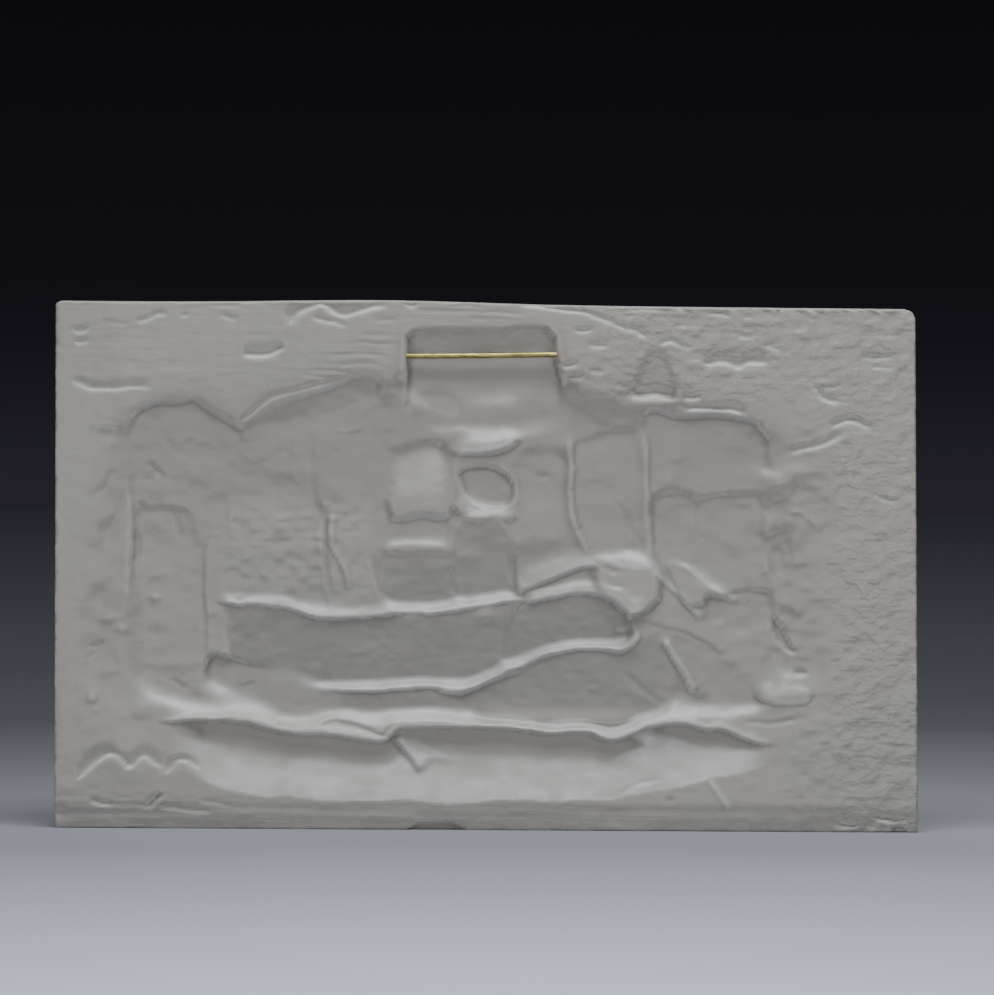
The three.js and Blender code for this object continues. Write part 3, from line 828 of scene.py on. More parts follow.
@dataclass
class ReliefPanel:
    """The plaster cast: outline, worked back, plain front and rim, all sizes in millimetres."""

    width: float = 457.0
    height: float = 279.0
    thickness: float = 40.0
    top_left_out: float = 0.8
    top_right_in: float = 2.9
    right_side_lower: float = 1.9
    left_corner: float = 3.0
    right_corner: float = 6.0
    top_swell: float = 1.95
    top_swell_middle: float = -55.0
    top_swell_half: float = 75.0
    top_swell_from: float = 262.0
    edge_round: float = 1.0
    edge_reach: float = 6.0
    dent: float = 0.25
    foot_lean: float = 2.2
    foot_lean_below: float = 16.0
    foot_lean_over: float = 17.0
    detail_gain: float = 0.55
    border_gain: float = 1.15
    lie: float = 0.45

    recess_left: float = -42.5
    recess_right: float = 38.0
    recess_top: float = 266.8
    recess_depth: float = 9.0
    recess_head_share: float = 0.55
    recess_fades_from: float = 222.0
    recess_fades_over: float = 20.0
    # painted light in the recess above the bar, which lies in shade
    recess_painted_light: float = 0.55

    border_width: float = 17.0
    border_bevel: float = 5.0
    field_sunk: float = 13.0
    relief_share: float = 1.35
    least_wall: float = 8.0

    columns: int = 285
    rows: int = 279
    front_step: int = 3
    rim_rows: int = 4
    back: DepthField = field(init=False)

    def __post_init__(self) -> None:
        """Lays out the even grid of the back."""
        xs = np.linspace(-self.width / 2, self.width / 2, self.columns + 1)
        zs = np.linspace(0.0, self.height, self.rows + 1)
        self.back = DepthField(xs, zs)

    def build(self) -> bpy.types.Object:
        """Works the back, closes the solid and makes the object.

        Returns:
            The panel's object.
        """
        self.carve_ground()
        self.carve_upright_panels()
        self.carve_bands()
        self.carve_ledge()
        large = self.back.smoothed(7)
        self.carve_recess()
        self.back.gain = self.detail_gain
        self.carve_middle_details()
        self.carve_left_details()
        self.carve_right_details()
        self.back.gain = self.border_gain
        self.carve_top_border()
        self.carve_bottom_border()
        self.roughen()
        return self.solid(large)

    def carve_ground(self) -> None:
        """The soft ground, the main hollow and the rounded hollow at the upper left."""
        f = self.back
        # soft ground round the hollows
        f.level([(-212, 205), (-150, 236), (-60, 248), (60, 246), (150, 228), (192, 190), (188, 90),
                 (166, 60), (152, 22), (60, 9), (-60, 8), (-150, 13), (-188, 40), (-212, 80)], 1.0, 26)
        f.level([(-207, 211), (-190, 212), (-170, 205), (-160, 150), (-160, 90), (-170, 70), (-196, 66),
                 (-212, 80), (-214, 110), (-206, 128), (-210, 150), (-203, 165), (-208, 175), (-199, 190)],
                2.4, 14)
        f.level([(120, 215), (150, 213), (166, 200), (182, 184), (184, 160), (178, 140), (176, 118),
                 (178, 98), (176, 80), (150, 72), (120, 80), (110, 120)], 2.6, 18)
        # main hollow: it falls away gently from its head and comes forward quickly at its foot
        f.level([(-190, 213), (-180, 225), (-166, 227), (-154, 228.5), (-143, 221.5), (-131, 214),
                 (-121, 222), (-108, 229), (-92, 233), (-80, 237), (-70, 241), (-59, 241), (-50, 240),
                 (-42, 243), (0, 246), (40, 242), (50, 236), (66, 231), (98, 228), (108, 221), (138, 220),
                 (147, 213), (152, 200), (156, 180), (162, 160), (164, 130), (163, 100), (158, 78),
                 (140, 63), (100, 62), (60, 60.5), (0, 60), (-60, 62.5), (-120, 60), (-150, 60.5),
                 (-180, 72), (-188, 90), (-187, 120), (-186, 150), (-187, 180), (-192, 200)],
                4.6, (9, 28), crisp=0.45)
        f.level([(-133, 214), (-121, 222), (-108, 229), (-92, 233), (-80, 237), (-70, 241), (-59, 241.5),
                 (-56, 233), (-70, 222), (-100, 210), (-125, 200)], 1.2, (16, 2.5), relative=True)
        # rounded hollow at the upper left, ending in a fold
        f.level([(-190, 212), (-178, 225.5), (-165, 226.5), (-154, 228), (-143, 221), (-131, 214),
                 (-127, 200), (-119, 184), (-126, 160), (-140, 150), (-165, 150), (-186, 156)],
                4.6, (26, 3), 0.01, -0.012)

    def carve_upright_panels(self) -> None:
        """The left column, the upright panels, the hole with its lobe, and the knot."""
        f = self.back
        # arched recess in the left column, and a raised strip beside it
        f.level([(-186, 166), (-178, 169.5), (-165, 170), (-158, 167), (-153, 154), (-148, 142),
                 (-148, 88), (-168, 80), (-186, 84)], 5.8, (22, 5))
        f.level([(-148, 152), (-136, 150), (-135, 96), (-148, 96)], 4.3, 1.6)
        # upright panels of the middle
        f.level([(-134, 186), (-88, 184), (-85, 150), (-84, 118), (-110, 116), (-136, 120)], 5.0, (2, 14))
        f.level([(-86, 200), (-56, 196), (-56, 150), (-54, 120), (-70, 114), (-84, 118)],
                4.2, (3, 16), 0.012)
        f.level([(-40, 241), (38, 241), (44, 224), (34, 213), (-14, 210), (-34, 214), (-38, 226)],
                6.4, (12, 16))
        f.level([(-51, 194), (-40, 203), (-22, 206), (-18, 192), (-18, 168), (-35, 166), (-51, 167)],
                4.1, (5, 10), 0, 0.13)
        f.level([(-54, 150), (-18, 150), (-14, 122), (-30, 116), (-50, 118)], 5.4, (5, 5), 0, -0.12)
        f.level([(-15.5, 166), (6, 167), (13, 160), (16, 148), (15, 126), (-10, 120), (-17, 140)],
                5.0, (6, 4), 0, -0.12)
        f.crest([(-56, 150), (-46, 147.5), (-34, 148.5), (-18, 148.5), (-14, 151)], 0.8, 9, 4.0, 0.15)
        # panels right of the hole
        f.level([(18, 199), (42, 202), (46, 190), (50, 160), (17, 148), (17, 166)], 4.6, (14, 9), 0, 0.05)
        f.level([(46, 206), (84, 212), (87, 165), (76, 150), (57, 146), (48, 165), (45.5, 190)], 4.4,
                (10, 5), 0, 0.025)
        f.level([(84, 221), (104, 221), (138, 221), (148, 213), (150, 200), (146, 180), (110, 180),
                 (87, 180)], 4.5, (8, 3.5), 0, 0.02)
        # the lobe over the hole, with painted light on its upper flank, the hole and its lower rim
        f.crest([(-19, 204), (-12, 200), (-4, 200.5), (4, 202), (12, 205), (20, 210)], 2.9, 10, 3.4, 0.22,
                0.8)
        f.level([(-17, 199), (-4, 200), (8, 197), (14, 191), (18, 184), (17, 172), (8, 166), (-10, 168),
                 (-17.5, 180)], 3.9, (5, 3))
        f.level([(-13.5, 191), (-6, 193.5), (3, 192.5), (11, 189.5), (14.5, 184), (15, 177), (10, 172),
                 (0, 171.5), (-9, 175.5), (-13, 183)], 6.2, (2.4, 1.8), 0, -0.03)
        f.crest([(-17, 176), (-12, 169), (-4, 167), (4, 167.5), (12, 166), (18, 169)], 1.6, 4.5, 3, 0.15)
        f.crest([(84, 215), (86.5, 188), (88, 163), (89.7, 141)], 1.5, 1.2, 7, 0.1)
        f.level([(89, 178), (112, 179.5), (136, 180), (147, 178), (147, 160), (146, 142), (136, 127),
                 (112, 124), (94, 128), (88, 150)], 5.5, (16, 5))
        # knot and the straps that leave it
        f.level([(58, 145), (66, 148.5), (80, 147), (92, 141), (92, 126), (84, 116), (72, 114), (66, 122),
                 (57, 132)], 0.6, (3, 9), 0, 0.06)
        f.level([(96, 143), (107, 142), (118, 130), (134, 123), (118, 121), (106, 122)], 3.6, 3, 0, 0.08)
        f.level([(116, 125), (126, 126), (138, 129), (151, 127), (152, 112), (140, 104), (126, 105),
                 (117, 112)], 6.0, (9, 3))

    def carve_bands(self) -> None:
        """The two hollow bands, the crests above and between them, the straps and the lumps."""
        f = self.back
        # broad band hollow under the first crest
        f.level([(-137, 119), (-126, 118.5), (-108, 118), (-88, 112.5), (-70, 112.5), (-40, 115.5),
                 (-20, 116.5), (0, 119.5), (18, 124), (20, 110), (14, 92), (-4, 78), (-40, 77), (-80, 75),
                 (-98, 76), (-118, 80.5), (-134, 86)], 6.1, (5.5, 1.2), 0, -0.12)
        f.level([(16, 121), (30, 124), (55, 127), (68, 124), (76, 112), (76, 99), (55, 98), (34, 95),
                 (16, 87), (8, 95)], 6.1, (3.4, 1.8), 0, -0.12)
        # smooth hollow under the second crest
        f.level([(-108, 78), (-84, 74), (-60, 74), (-30, 75.5), (-10, 74), (2, 77), (8, 66), (4, 60),
                 (-10, 59), (-30, 60.5), (-44, 59), (-60, 57), (-74, 59.5), (-84, 59.5), (-96, 55.5),
                 (-110, 56), (-116, 66)], 5.6, (10, 1.5), 0, -0.06)
        f.level([(-146, 92), (-134, 90), (-121, 86), (-108, 83.5), (-96, 81), (-86, 76.5), (-76, 73.5),
                 (-74, 64), (-86, 60), (-98, 57), (-118, 60), (-136, 66), (-150, 78)], 7.2, (17, 2), -0.03,
                0.07)
        f.level([(-16, 70), (-10, 74), (8, 81), (30, 90), (50, 95.5), (74, 95), (84, 104), (92, 106),
                 (104, 80), (100, 68), (92, 61), (84, 58), (76, 55), (64, 52.8), (52, 54.4),
                 (30, 54.6), (8, 56.5), (-4, 58.5)], 5.7, (4.5, 1.5), 0, -0.06)
        f.crest([(-6, 60), (10, 58.6), (30, 58), (50, 58), (70, 58.6), (84, 60.5)], 0.9, 8.5, 2.2, 0.15)
        # first crest and its second and third lobes, with painted light on their upper flanks
        f.crest([(-144, 121), (-128, 119.5), (-108, 118), (-88, 112.8), (-64, 113), (-40, 116), (-24, 116),
                 (0, 120), (17, 124.5)], 2.3, 6.0, 1.3, 0.06, 1.0)
        f.crest([(14, 126), (26, 131), (38, 136), (50, 140), (62, 141)], 2.2, 12, 1.6, 0.15, 0.7)
        f.crest([(18, 121), (34, 124.5), (52, 127), (66, 124), (74, 117), (88, 117)], 2.6, 8, 1.3, 0.12,
                0.6)
        # second crest; the right part has painted light on its upper flank
        f.crest([(-90, 76.5), (-80, 74.8), (-60, 74.3), (-34, 76), (-12, 76)], 1.3, 3.4, 1.3, 0.25)
        f.crest([(-28, 74), (-10, 74.5), (6, 82), (20, 89), (40, 95.5), (58, 97.5), (74, 97), (81, 103),
                 (78, 109)], 2.0, 5, 1.6, 0.08, 0.7)
        # straps, three with painted light on a flank
        f.crest([(89, 138), (100, 127.5), (108, 119.5), (115, 112)], 1.5, 4, 1.2, painted_light=0.6)
        f.crest([(104, 144), (112, 136), (121, 128), (136, 122)], 1.1, 4, 2.5, painted_light=0.7)
        f.crest([(84, 111), (96, 109), (112, 104.5), (127, 94)], 0.7, 5, 1.6)
        f.crest([(94, 103), (102, 90), (112, 73)], 2.1, 3.8, 2.4, painted_light=0.5)
        # lumps at the right
        for x, z, rx, rz, height, turn in (
            (157, 188, 13, 9, 2.2, 20), (150, 166, 5, 6, 1.6, 0), (167, 164, 11, 9, 1.4, -20),
            (157, 146, 5, 12, -1.6, 15), (156, 78, 14, 9, 1.8, 0),
        ):
            f.lump(x, z, rx, rz, height, turn)

    def carve_ledge(self) -> None:
        """The ledge, and under it one long lens-shaped hollow with two slanting struts."""
        f = self.back
        ledge = [(-176, 56), (-160, 57.5), (-145, 57.5), (-130, 56.5), (-118, 53.8), (-106, 51.2),
                 (-94, 50.2), (-82, 50.2), (-68, 48.4), (-54, 47.2), (-49, 50.5), (-44, 54.5),
                 (-28, 55.5), (-10, 55.3), (8, 54.2), (30, 52.6), (52, 52.3), (58, 50.8), (65, 49),
                 (72, 50), (80, 53), (85, 55.5), (97, 57.4), (106, 57.4), (114, 55.4), (118, 54.2),
                 (124, 55), (131, 52.4), (138, 49.4), (154, 46)]
        # the ledge's upper flank gets painted light
        f.crest(ledge, 2.2, 4.5, 1.0, 0.05, 0.8)
        f.crest(ledge[2:14], 1.2, 10.0, 1.0, 0.12)
        # the long hollow's slope gets painted light
        f.trough([(-172, 40), (-160, 33), (-148, 25), (-136, 20.5), (-126, 18.5), (-115, 16.5), (-106, 17.5),
                  (-96, 16.3), (-80, 14.6), (-64, 14.6), (-50, 15.4), (-36, 15), (-26, 13.2), (-12, 13.4),
                  (6, 15.6), (30, 15.4), (54, 15.6), (66, 16.6), (76, 18.8), (88, 20.4), (100, 22.4),
                  (110, 25), (119, 28.2), (130, 29.4), (146, 34.5), (154, 40)],
                 ledge, 6.4, 0.63, 32.0, 1.3, 26.0)
        f.crest([(-49.5, 51), (-44.5, 43.5), (-39, 36.8), (-33, 30)], 3.4, 9.5, 1.6, 0.2)
        f.crest([(-38, 40), (-29, 39), (-20, 38.5), (-11, 38.5)], 1.2, 7, 5, 0.35)
        f.lump(86, 50, 9, 9, 3.4)
        f.lump(82, 38, 16, 9, 1.2, 20)
        # painted light on the right strut, plate, knot and left strut
        for outline, share, edge in (
            ([(79, 53), (86, 55), (94, 52.5), (106, 48.5), (120, 45), (146, 43), (140, 36), (116, 30),
              (90, 23), (70, 20), (62, 30), (65, 37.5), (73, 42.5), (83, 46), (78, 49.5)], 0.85, 2.5),
            ([(-52, 195), (-40, 203), (-22, 205), (-19, 190), (-20, 176), (-36, 172), (-50, 174)],
             0.65, 9.0),
            ([(60, 146), (68, 149), (80, 147.5), (90, 141), (84, 138), (70, 139)], 1.1, 3.0),
            ([(-48.5, 51), (-44, 54), (-38, 50), (-30, 44.5), (-18, 38.5), (-30, 35), (-35, 32),
              (-40, 38.5)], 0.9, 1.5),
        ):
            f.mark(f.painted_light, outline, share, edge)

    def carve_recess(self) -> None:
        """The pocket for the hanging bar: eased sides and top, running out into the hollow below."""
        f = self.back
        x, z = f.even_x, f.even_z
        right = self.recess_right + 3.5 * ease((256 - z) / 20)
        top = self.recess_top + 1.6 * ease((x - 6) / 14) - 0.9 * ease((-26 - x) / 16)
        corner = 6.0 * ease((x - 28) / 10) ** 2 + 3.5 * ease((-36 - x) / 6) ** 2
        into_side = np.minimum(x - self.recess_left, right - x) / 2.0
        below_top = top - corner - z
        inside = ease(into_side) * ease(below_top / 1.8)
        fade = ease((z - self.recess_fades_from) / self.recess_fades_over)
        head = self.recess_head_share
        floor = self.recess_depth * (head + (1 - head) * ease(below_top / 14))
        f.depth = np.maximum(f.depth, f.depth + (floor - f.depth) * inside * fade)
        # painted light in the shaded recess above the bar
        f.painted_light = np.maximum(f.painted_light, self.recess_painted_light * inside * ease((z - 248) / 8))

    def carve_middle_details(self) -> None:
        """Creases, pits and small steps in and under the upright panels."""
        f = self.back
        for line, width, depth, lip in (
            ([(-86.5, 171), (-85.5, 160), (-84.5, 148), (-84.7, 140), (-83, 128), (-79.5, 118)],
             1.4, 2.2, 0.5),
            ([(-60, 146), (-58.5, 138), (-56.5, 130), (-52, 122), (-46, 118)], 1.7, 2.2, 0.4),
            ([(-20, 141), (-18, 132), (-14, 124), (-11, 120)], 1.4, 1.7, 0.3),
            ([(13, 148), (15, 136), (16.5, 126)], 1.6, 2.0, 0.5),
            ([(-104, 212), (-105, 196), (-106, 184)], 1.3, 0.6, 0.0),
            ([(-91.5, 216), (-92, 200), (-91.5, 184), (-90, 168), (-91, 148), (-90.5, 128)], 1.3, 0.8, 0.0),
            ([(-25, 208), (-22.5, 196), (-18.5, 186)], 1.1, 0.8, 0.3),
            ([(62.5, 219), (62, 211), (60.5, 204)], 2.0, 1.1, 0.0),
            ([(66, 178), (71, 172), (76, 162), (80, 156), (84, 149)], 1.2, 1.4, 0.3),
            ([(90, 172), (90, 160), (90.5, 149)], 1.3, 1.3, 0.4),
            ([(111, 176), (112.5, 165), (114, 153)], 1.3, 0.9, 0.3),
            ([(62, 142), (66, 138.5), (71, 137)], 1.3, 1.5, 0.4),
            ([(64, 133), (68, 130), (74, 131)], 1.3, 1.2, 0.3),
        ):
            f.cut(line, width, depth, lip)
        for line, height, left, right in (
            ([(-83.5, 169), (-82.5, 158), (-82, 151), (-78, 143), (-74.5, 135), (-73, 125)], 2.6, 3.5, 1.6),
            ([(-18.8, 185), (-17.5, 177), (-16, 171)], 1.5, 1.8, 2.5),
            ([(-18, 170), (-18.4, 160), (-18, 149)], 1.4, 1.8, 1.8),
            ([(47, 211), (45.5, 191), (48.5, 163.5), (56, 145)], 3.2, 1.2, 6.0),
            ([(108, 180), (114, 178), (121, 179.5), (129, 181)], 1.2, 3.0, 3.0),
            ([(-80, 211.6), (-72, 211.8), (-66, 213.5)], 0.8, 1.5, 2.5),
        ):
            f.crest(line, height, left, right)
        f.level([(-36, 231), (-30, 233), (-18, 232), (-11.5, 227), (-13, 222), (-21, 221), (-30, 223)],
                1.3, 3, relative=True)
        for x, z, rx, rz, height in (
            (-49, 184, 1.5, 2.2, -1.8), (-50, 178, 2.0, 1.4, -1.5), (-85.5, 173, 2.0, 2.0, 1.3),
            (-4, 161, 2.0, 2.6, -0.9), (30, 188, 4.5, 1.8, -1.2), (14, 219, 8, 6, 1.0),
            (-3, 207, 7, 5, 1.6), (-13, 212.5, 4, 2.5, 1.2), (-25, 186, 6, 3, 0.8), (57, 75, 1.6, 1.6, 0.7),
            (-41.5, 225, 2.0, 3.0, -1.2), (26, 214, 7, 9, 0.8), (0, 113, 6, 4, 1.6), (-35, 226, 4, 6, -0.6),
            (-112, 215, 10, 8, -0.5), (-97, 206, 7, 10, 0.5), (38, 216, 6, 8, 0.6),
        ):
            f.lump(x, z, rx, rz, height)
        # small sunk facet in the ledge, with a thin lip below it
        f.level([(-89, 54), (-84, 57.3), (-78, 58.2), (-71, 56.8), (-62, 54.2), (-53, 50), (-50.5, 48.4),
                 (-62, 49.6), (-76, 51.4)], 3.0, (0.9, 1.8), 0.03, 0.1, relative=True)
        # pockets in the ledge
        f.lump(28, 57.9, 6, 1.1, -1.6)
        f.lump(66, 56.6, 10, 1.4, -2.4)

    def carve_left_details(self) -> None:
        """Cracks, bumps and scalloped edges of the left column."""
        f = self.back
        for line, width, depth, lip in (
            ([(-187.5, 193), (-187.3, 176), (-186.5, 160), (-185.5, 148), (-186.5, 138), (-188, 128),
              (-187.5, 117)], 1.3, 2.4, 0.5),
            ([(-185.8, 157), (-184.8, 147), (-186, 138)], 1.9, 2.4, 0.0),
            ([(-180.5, 195.5), (-176.5, 190.5), (-170.5, 184.5)], 1.3, 1.7, 0.4),
            ([(-176.5, 190.5), (-178, 186.5), (-179.5, 182.5)], 1.2, 1.3, 0.2),
            ([(-164.5, 167), (-163, 160), (-161.5, 153)], 1.3, 1.5, 0.5),
            ([(-197, 192), (-201, 183), (-208, 173.5)], 1.6, 1.1, 0.3),
            ([(-192, 181), (-194.5, 169), (-200, 160), (-207, 153)], 1.8, 1.2, 0.2),
            ([(-211, 95), (-206, 97), (-201, 99.5)], 1.4, 1.7, 0.3),
            ([(-212, 88), (-208, 92), (-205, 96)], 1.2, 1.2, 0.2),
            ([(-184, 136), (-185, 129), (-183, 121)], 1.2, 1.0, 0.2),
            ([(-168, 79), (-163, 76), (-158, 73)], 1.2, 1.3, 0.3),
            ([(-132, 73.5), (-127, 75.5), (-122, 77)], 1.2, 1.0, 0.2),
            ([(-168, 207), (-167.3, 203), (-167, 199)], 1.2, 0.8, 0.0),
            ([(-155, 207), (-158, 204), (-156, 201)], 1.4, 0.9, 0.3),
            ([(-150, 128), (-149.4, 112), (-149, 97)], 1.3, 1.4, 0.3),
            ([(-140, 180), (-139, 171), (-137, 160)], 1.4, 0.8, 0.2),
        ):
            f.cut(line, width, depth, lip)
        for x, z, rx, rz, height in (
            (-176, 134, 4, 3.5, 1.0), (-176, 122.5, 4, 2.2, 2.0), (-200, 111, 6, 3.5, 2.0),
            (-193, 105.5, 4, 3, 1.8), (-209, 69.5, 3.4, 3.2, 2.0), (-206, 63, 2, 2, 0.9),
            (-203, 82, 6, 5.5, 1.6), (-205, 123, 6, 7, -2.2), (-201, 154, 6, 9, -1.8),
            (-135, 108, 1.6, 1.6, 1.2), (-152, 70, 3, 1.6, -0.8), (-183, 64, 6, 5, 1.4),
            (-199, 204, 5, 4, 1.5), (-176, 103, 5, 3, -0.8), (-165, 88, 18, 4, 1.2),
            (-210, 104, 5, 5, 0.9), (-194, 95, 4, 8, 0.8), (-125, 176, 8, 5, -0.8),
        ):
            f.lump(x, z, rx, rz, height)
        # its edge gets painted light
        f.scoop([(-208, 212.3), (-203, 213), (-195, 211)], -1.0, 1.2, 2.5)

    def carve_right_details(self) -> None:
        """Lumps, pits and cracks of the rough right end."""
        f = self.back
        for line, width, depth, lip in (
            ([(149.5, 222), (146.5, 216), (148, 211), (151, 206.5)], 1.2, 1.4, 0.4),
            ([(193, 208), (191, 194), (187, 181), (179, 167)], 1.2, 0.9, 0.3),
            ([(72, 86), (78, 80), (84, 74), (91, 69.5), (99, 65)], 1.6, 0.9, 0.0),
            ([(67, 17.5), (75, 22), (83, 25.5), (94, 27.8)], 1.4, 1.2, 0.0),
            ([(113, 73), (115, 68), (113, 64)], 3.0, 2.0, 0.0),
            ([(70, 110.5), (85, 110.5), (96, 109), (106, 106), (118, 100), (128, 93)], 1.3, 0.6, 0.3),
            ([(88, 137), (97, 131), (104, 124), (110, 116), (115, 111)], 1.3, 1.0, 0.4),
            ([(150, 150), (152, 140), (157, 131)], 1.5, 1.2, 0.3),
            ([(158, 158), (161, 148), (163, 140)], 1.4, 1.0, 0.3),
            ([(183, 144), (182, 139), (184, 134)], 1.2, 0.8, 0.2),
        ):
            f.cut(line, width, depth, lip)
        f.level([(153, 114.5), (158, 107), (162, 100), (165.5, 95.5), (160, 96), (155, 102), (152.5, 109)],
                3.6, 2.0, relative=True)
        f.crest([(155.5, 115), (159, 111), (162.5, 107)], 1.4, 2.6, 2.6)
        f.crest([(160, 171), (168, 170.5), (172, 167.5), (176, 163), (175, 159)], 1.3, 2.5, 2.5)
        for x, z, rx, rz, height in (
            (101, 199, 5, 5.5, 1.6), (97, 186, 7, 5.5, 2.0), (168, 192.5, 6, 3.5, 2.0),
            (156, 186, 6, 4, 1.6), (168, 183, 7, 5, -2.0), (168, 84.7, 3.2, 1.8, -3.0),
            (166, 99, 2.2, 3, 1.6), (186, 62, 4, 1.8, -1.0), (150, 160, 3, 2.2, 1.2),
            (130, 92, 9, 5, 1.4), (124, 110, 5, 2.5, 1.4), (104, 72, 8, 5, -1.6), (80, 98, 3, 6, 1.2),
            (73, 104, 4, 4.5, -3.0), (125.5, 98, 2, 2.5, 1.0), (140, 84, 10, 7, 1.2),
            (150, 120, 6, 5, -1.2), (158, 122, 6, 5, 1.5), (143, 94, 6, 3, 0.8), (176, 150, 6, 8, 1.0),
        ):
            f.lump(x, z, rx, rz, height)
        f.crest([(142, 74), (147, 71), (152, 69.6), (160, 69.6), (166, 69), (170.5, 71), (173, 76)],
                3.6, 11.0, 1.6)
        # its edge gets painted light
        f.scoop([(136, 57.2), (150, 56.8), (166, 58.4)], 0.8, 1.3, 3.0)

    def carve_top_border(self) -> None:
        """Trowel strokes, dents and lips of the border above the hollow."""
        f = self.back
        f.level([(73, 230), (78, 240), (84, 252), (90, 257), (98, 250), (100, 230)], 1.8, 6, relative=True)
        # each stroke's edge gets painted light
        for line, depth, edge, reach in (
            ([(-108, 267.5), (-103, 267), (-100, 271), (-95, 274), (-88, 276.3), (-82, 273.5), (-78, 271.5),
              (-72, 270.8), (-66, 272.5), (-58, 274.5), (-50, 275)], 1.7, 1.7, 6.0),
            ([(-93, 270), (-86, 268.8), (-80, 267.5), (-74, 265.5)], 0.9, 1.3, 3.0),
            ([(-130, 250.5), (-122, 249.8), (-115, 250.5), (-110, 252.5), (-106.5, 254.5)], 2.0, 1.8, 6.0),
            ([(-220, 264), (-216, 262), (-212, 263), (-210, 266)], 0.9, 1.3, 3.0),
            ([(-219, 257), (-215, 256.3), (-211, 258.5)], 0.8, 1.3, 2.5),
            ([(-222, 237), (-213, 232.5), (-205, 231), (-196, 231), (-188, 232.3), (-176, 232.6)],
             0.9, 1.3, 5.0),
            ([(-42.5, 278), (-39, 275.3), (-35, 277.5)], 1.4, 1.2, 3.0),
            ([(16, 279.5), (24, 278), (33, 277), (42, 275), (51, 274.3), (58, 272), (66, 270), (72, 266.5),
              (80, 264.5), (84, 261), (91, 258)], 1.0, 1.5, 3.0),
            ([(92, 257), (98, 259), (104, 256.5), (112, 255)], 0.9, 1.4, 2.5),
            ([(134, 262.3), (139, 261.8), (143, 262.2)], 0.8, 1.2, 2.5),
            ([(149, 258.5), (154, 256.5), (156.5, 255)], 0.8, 1.2, 2.5),
            ([(113, 248.8), (119, 247.3), (125, 248.8), (131, 247.8), (135, 246.2), (141, 248.6),
              (152, 249)], 2.0, 1.7, 8.0),
            ([(104, 229.3), (109, 228.6), (114, 230)], 1.2, 1.6, 3.0),
            ([(104, 222.3), (112, 223), (121, 222.6), (132, 223), (139, 220.5)], 1.6, 2.0, 4.5),
            ([(79, 229), (88, 230.5), (94, 229.5), (99.5, 227.5)], 2.0, 2.0, 6.0),
            ([(174, 238), (176, 232.5), (181, 229), (188, 228)], 1.1, 1.4, 4.0),
            ([(199, 252.2), (208, 251.2), (218, 251.7)], 0.7, 1.2, 3.0),
            ([(205, 247), (211, 246), (217, 246.2)], 0.6, 1.2, 2.5),
            ([(184, 214), (188, 216), (194, 218), (200, 215.6), (204, 213.6)], 1.2, 1.4, 3.5),
            ([(160, 200), (168, 202.5), (177, 204.5), (186, 208.5), (192, 211)], 1.0, 1.6, 4.0),
            ([(180, 236), (184, 235.5), (188, 236.5)], 0.7, 1.2, 2.5),
            ([(203, 179), (210, 176.8), (218, 176)], 0.7, 1.2, 2.5),
            ([(118, 275), (124, 274.8), (130, 273.5)], 0.8, 1.2, 2.5),
            ([(-186, 267.5), (-180, 268.6), (-174, 270.8), (-168, 271.5)], 0.8, 1.3, 3.0),
            ([(-163, 271), (-160, 270.2), (-157, 271.5)], 0.7, 1.2, 2.5),
            ([(-141, 272), (-137, 270.3), (-132, 269)], 0.7, 1.2, 2.5),
            ([(46, 265), (52, 263.8), (58, 265)], 1.0, 1.3, 2.5),
            ([(40, 246.5), (45, 245.5), (50, 246.5)], 1.0, 1.3, 2.5),
            ([(42, 240.5), (47, 239), (52, 240)], 1.0, 1.3, 2.5),
            ([(56, 243.5), (60, 242.5), (64, 243.5)], 0.8, 1.3, 2.5),
            ([(55, 257), (60, 256), (66, 257)], 0.8, 1.3, 2.5),
            ([(70, 236), (73, 234.5), (76, 235.5)], 0.9, 1.3, 2.5),
            ([(-131, 214), (-121, 221.6), (-112, 228.2), (-98, 232.2), (-88, 235), (-78, 238)],
             0.7, 1.4, 3.0),
        ):
            f.scoop(line, depth, edge, reach)
        for start, stop, z, depth in (
            (-50, 30, 274.3, 0.55), (-20, 2, 277.3, 0.5), (-12, 16, 270.8, 0.4), (-70, -44, 262.0, 0.4),
            (-78, -46, 257.5, 0.4), (-84, -50, 252.0, 0.5), (-80, -52, 246.8, 0.5), (-100, -82, 240.6, 0.4),
            (-96, -72, 243.4, 0.4), (-130, -112, 261.5, 0.4), (-60, -46, 269.2, 0.5), (98, 128, 268.0, 0.4),
            (108, 150, 264.8, 0.3), (-150, -128, 277.0, 0.4), (-205, -188, 267.4, 0.4),
            (60, 110, 276.6, 0.4),
        ):
            middle = (start + stop) / 2
            f.cut([(start, z), (middle, z + 0.5), (stop, z - 0.3)], 0.9, depth, 0.5 * depth)

